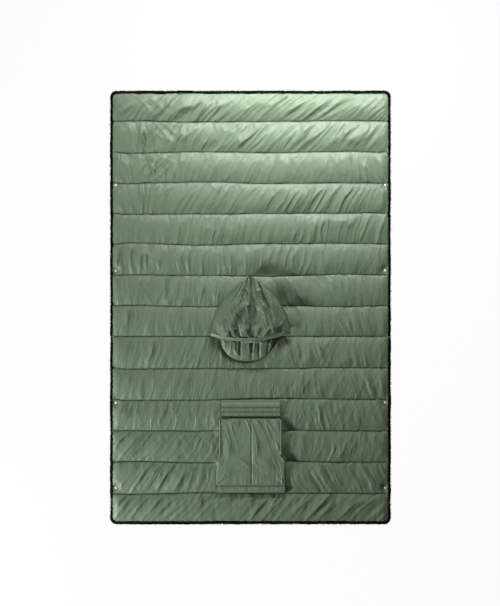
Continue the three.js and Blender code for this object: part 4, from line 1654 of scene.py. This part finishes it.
def make_pull():
    low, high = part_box("zip_pull")
    pin_x = low.x + 0.8 * MM
    middle = (low.z + high.z) / 2
    bpy.ops.mesh.primitive_cylinder_add(vertices=16, radius=0.75 * MM, depth=high.y - low.y - 0.8 * MM,
                                        location=(pin_x, ZIP_Y, middle), rotation=(math.pi / 2, 0, 0))
    pin = bpy.context.object
    settle_place(pin)
    parts = [pin]
    for side in (-1, 1):
        inner = ZIP_Y + side * 1.95 * MM
        outer = ZIP_Y + side * 3.15 * MM
        parts.append(rounded_block("arm", (low.x, min(inner, outer), low.z + 0.05 * MM),
                                   (low.x + 10 * MM, max(inner, outer), high.z - 0.05 * MM), 0.4 * MM))
    tab = rounded_block("tab", (low.x + 8.6 * MM, low.y, low.z + 0.15 * MM),
                        (high.x, high.y, high.z - 0.15 * MM), 0.5 * MM)
    use(tab)
    bpy.ops.object.mode_set(mode="EDIT")
    bpy.ops.mesh.select_mode(type="FACE")
    bpy.ops.mesh.select_all(action="DESELECT")
    bpy.ops.object.mode_set(mode="OBJECT")
    for face in tab.data.polygons:
        face.select = face.normal.z > 0.95 and face.area > 1e-5
    bpy.ops.object.mode_set(mode="EDIT")
    bpy.ops.mesh.inset(thickness=1.1 * MM, depth=-0.35 * MM)
    bpy.ops.object.mode_set(mode="OBJECT")
    parts.append(tab)
    obj = join("zip_pull_tab", parts)
    shade(obj, 40)
    paint(obj, STEEL)
    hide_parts("zip_pull")
    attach(obj, "pull")


make_pull()


# ---------------------------------------------------------------- press-studs
def turned_disc(name, centre, radius, low, profile, vertices=28):
    """A round part built up ring by ring: each step of the profile is (radius share, height)."""
    bpy.ops.mesh.primitive_circle_add(vertices=vertices, radius=radius * profile[0][0], fill_type="NGON",
                                      location=(centre[0], centre[1], low + profile[0][1]))
    obj = bpy.context.object
    obj.name = name
    settle_place(obj)
    use(obj)
    bpy.ops.object.mode_set(mode="EDIT")
    bpy.ops.mesh.select_mode(type="FACE")
    bpy.ops.mesh.select_all(action="SELECT")
    share, height = profile[0]
    for next_share, next_height in profile[1:]:
        ratio = next_share / share
        bpy.ops.mesh.extrude_region_move(TRANSFORM_OT_translate={"value": (0, 0, next_height - height)})
        middle = (centre[0], centre[1], low + next_height)
        bpy.ops.transform.resize(value=(ratio, ratio, 1), center_override=middle)
        share, height = next_share, next_height
    bpy.ops.mesh.select_all(action="SELECT")
    bpy.ops.mesh.normals_make_consistent(inside=False)
    bpy.ops.object.mode_set(mode="OBJECT")
    deselect()
    return obj


CAP_PROFILE = [(0.86, 0), (1.0, 0.35), (1.0, 0.8), (0.93, 1.25), (0.8, 1.35), (0.74, 1.2), (0.62, 1.75),
               (0.42, 2.15), (0.2, 2.35), (0.05, 2.4)]
SOCKET_PROFILE = [(0.95, 5), (1.0, 4.6), (1.0, 0.6), (0.93, 0.1), (0.62, 0.0), (0.5, 0.2), (0.43, 0.7),
                  (0.43, 2.3), (0.1, 2.4)]
STUD_PROFILE = [(0.95, 5), (1.0, 4.7), (1.0, 2.8), (0.9, 2.3), (0.5, 2.2), (0.3, 2.0), (0.27, 1.4),
                (0.34, 0.8), (0.28, 0.2), (0.08, 0.0)]


def make_fitting(node, body, profile, material):
    low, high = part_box(node)
    centre = ((low.x + high.x) / 2, (low.y + high.y) / 2)
    steps = [(share, height * MM) for share, height in profile]
    obj = turned_disc(node + "_turned", centre, (high.x - low.x) / 2 - 0.05 * MM, low.z, steps)
    shade(obj, 50)
    paint(obj, material)
    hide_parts(node)
    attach(obj, body)


for body, fitting, profile in (("back", "socket", SOCKET_PROFILE), ("front", "stud", STUD_PROFILE)):
    for place in ("near_left", "near_right", "hem_left", "hem_right"):
        make_fitting(f"{body}_cap_{place}", body, CAP_PROFILE, PEARL)
        make_fitting(f"{body}_{fitting}_{place}", body, profile, STEEL)


# ---------------------------------------------------------------- floor, light and camera
def make_floor():
    bpy.ops.mesh.primitive_plane_add(size=40, location=(0, 0, -0.8 * MM))
    floor = bpy.context.object
    floor.name = "studio_floor"
    made = Finish("Pale floor", (0.03, 0.03, 0.03), 0.9)
    made.set(Emission_Color=(1, 1, 1, 1), Emission_Strength=0.955, Specular_IOR_Level=0.0)
    paint(floor, made.material)
    deselect()


def make_floor_shade():
    """A dark sheet just above the floor inside the neck opening: painted shade, where the blanket keeps the
    light from the floor.
    """
    turn = np.linspace(0, math.tau, 49)[:-1]
    behind, ahead, sideways = 0.12, 0.045, 0.15
    reach = np.where(np.sin(turn) > 0, behind, ahead)
    x = NECK_CENTRE.x + sideways * np.cos(turn)
    points = np.stack([x, FOLD_Y + reach * np.sin(turn), np.full_like(x, -0.7 * MM)], 1)
    shaded = from_arrays("painted_shade_in_the_neck", points, [tuple(range(len(points)))])
    made = Finish("Painted floor shade", (0.02, 0.02, 0.02), 0.9)
    made.set(Specular_IOR_Level=0.0)
    paint(shaded, made.material)


make_floor()
make_floor_shade()


def area_light(name, place, target, power, size, spread=180):
    data = bpy.data.lights.new(name, "AREA")
    data.shape = "RECTANGLE"
    data.size, data.size_y = size
    data.energy = power
    data.spread = math.radians(spread)
    light = bpy.data.objects.new(name, data)
    light.location = place
    light.rotation_euler = (Vector(target) - Vector(place)).to_track_quat("-Z", "Y").to_euler()
    bpy.context.collection.objects.link(light)


area_light("key_softbox", (0.3, 2.1, 1.1), (0.22, 1.0, 0), 19.2, (1.4, 0.35), 76)
area_light("fill_softbox", (-2.7, -1.9, 1.3), (0, -0.3, 0), 118, (0.6, 0.6))

world = bpy.data.worlds.new("Studio")
world.use_nodes = True
background = next(n for n in world.node_tree.nodes if n.type == "BACKGROUND")
background.inputs["Color"].default_value = (1, 1, 1, 1)
background.inputs["Strength"].default_value = 0.13
bpy.context.scene.world = world
bpy.context.scene.view_settings.view_transform = "Standard"

VIEW_HEIGHT = 3.03             # metres of floor from the top of the frame to its foot
VIEW_CENTRE = (-0.0025, 0.0225)
LENS = 200
SENSOR = 36
camera_data = bpy.data.cameras.new("Camera")
camera_data.lens = LENS
camera_data.sensor_width = SENSOR
camera = bpy.data.objects.new("Camera", camera_data)
camera.location = (*VIEW_CENTRE, VIEW_HEIGHT * LENS / SENSOR)
bpy.context.collection.objects.link(camera)
bpy.context.scene.camera = camera
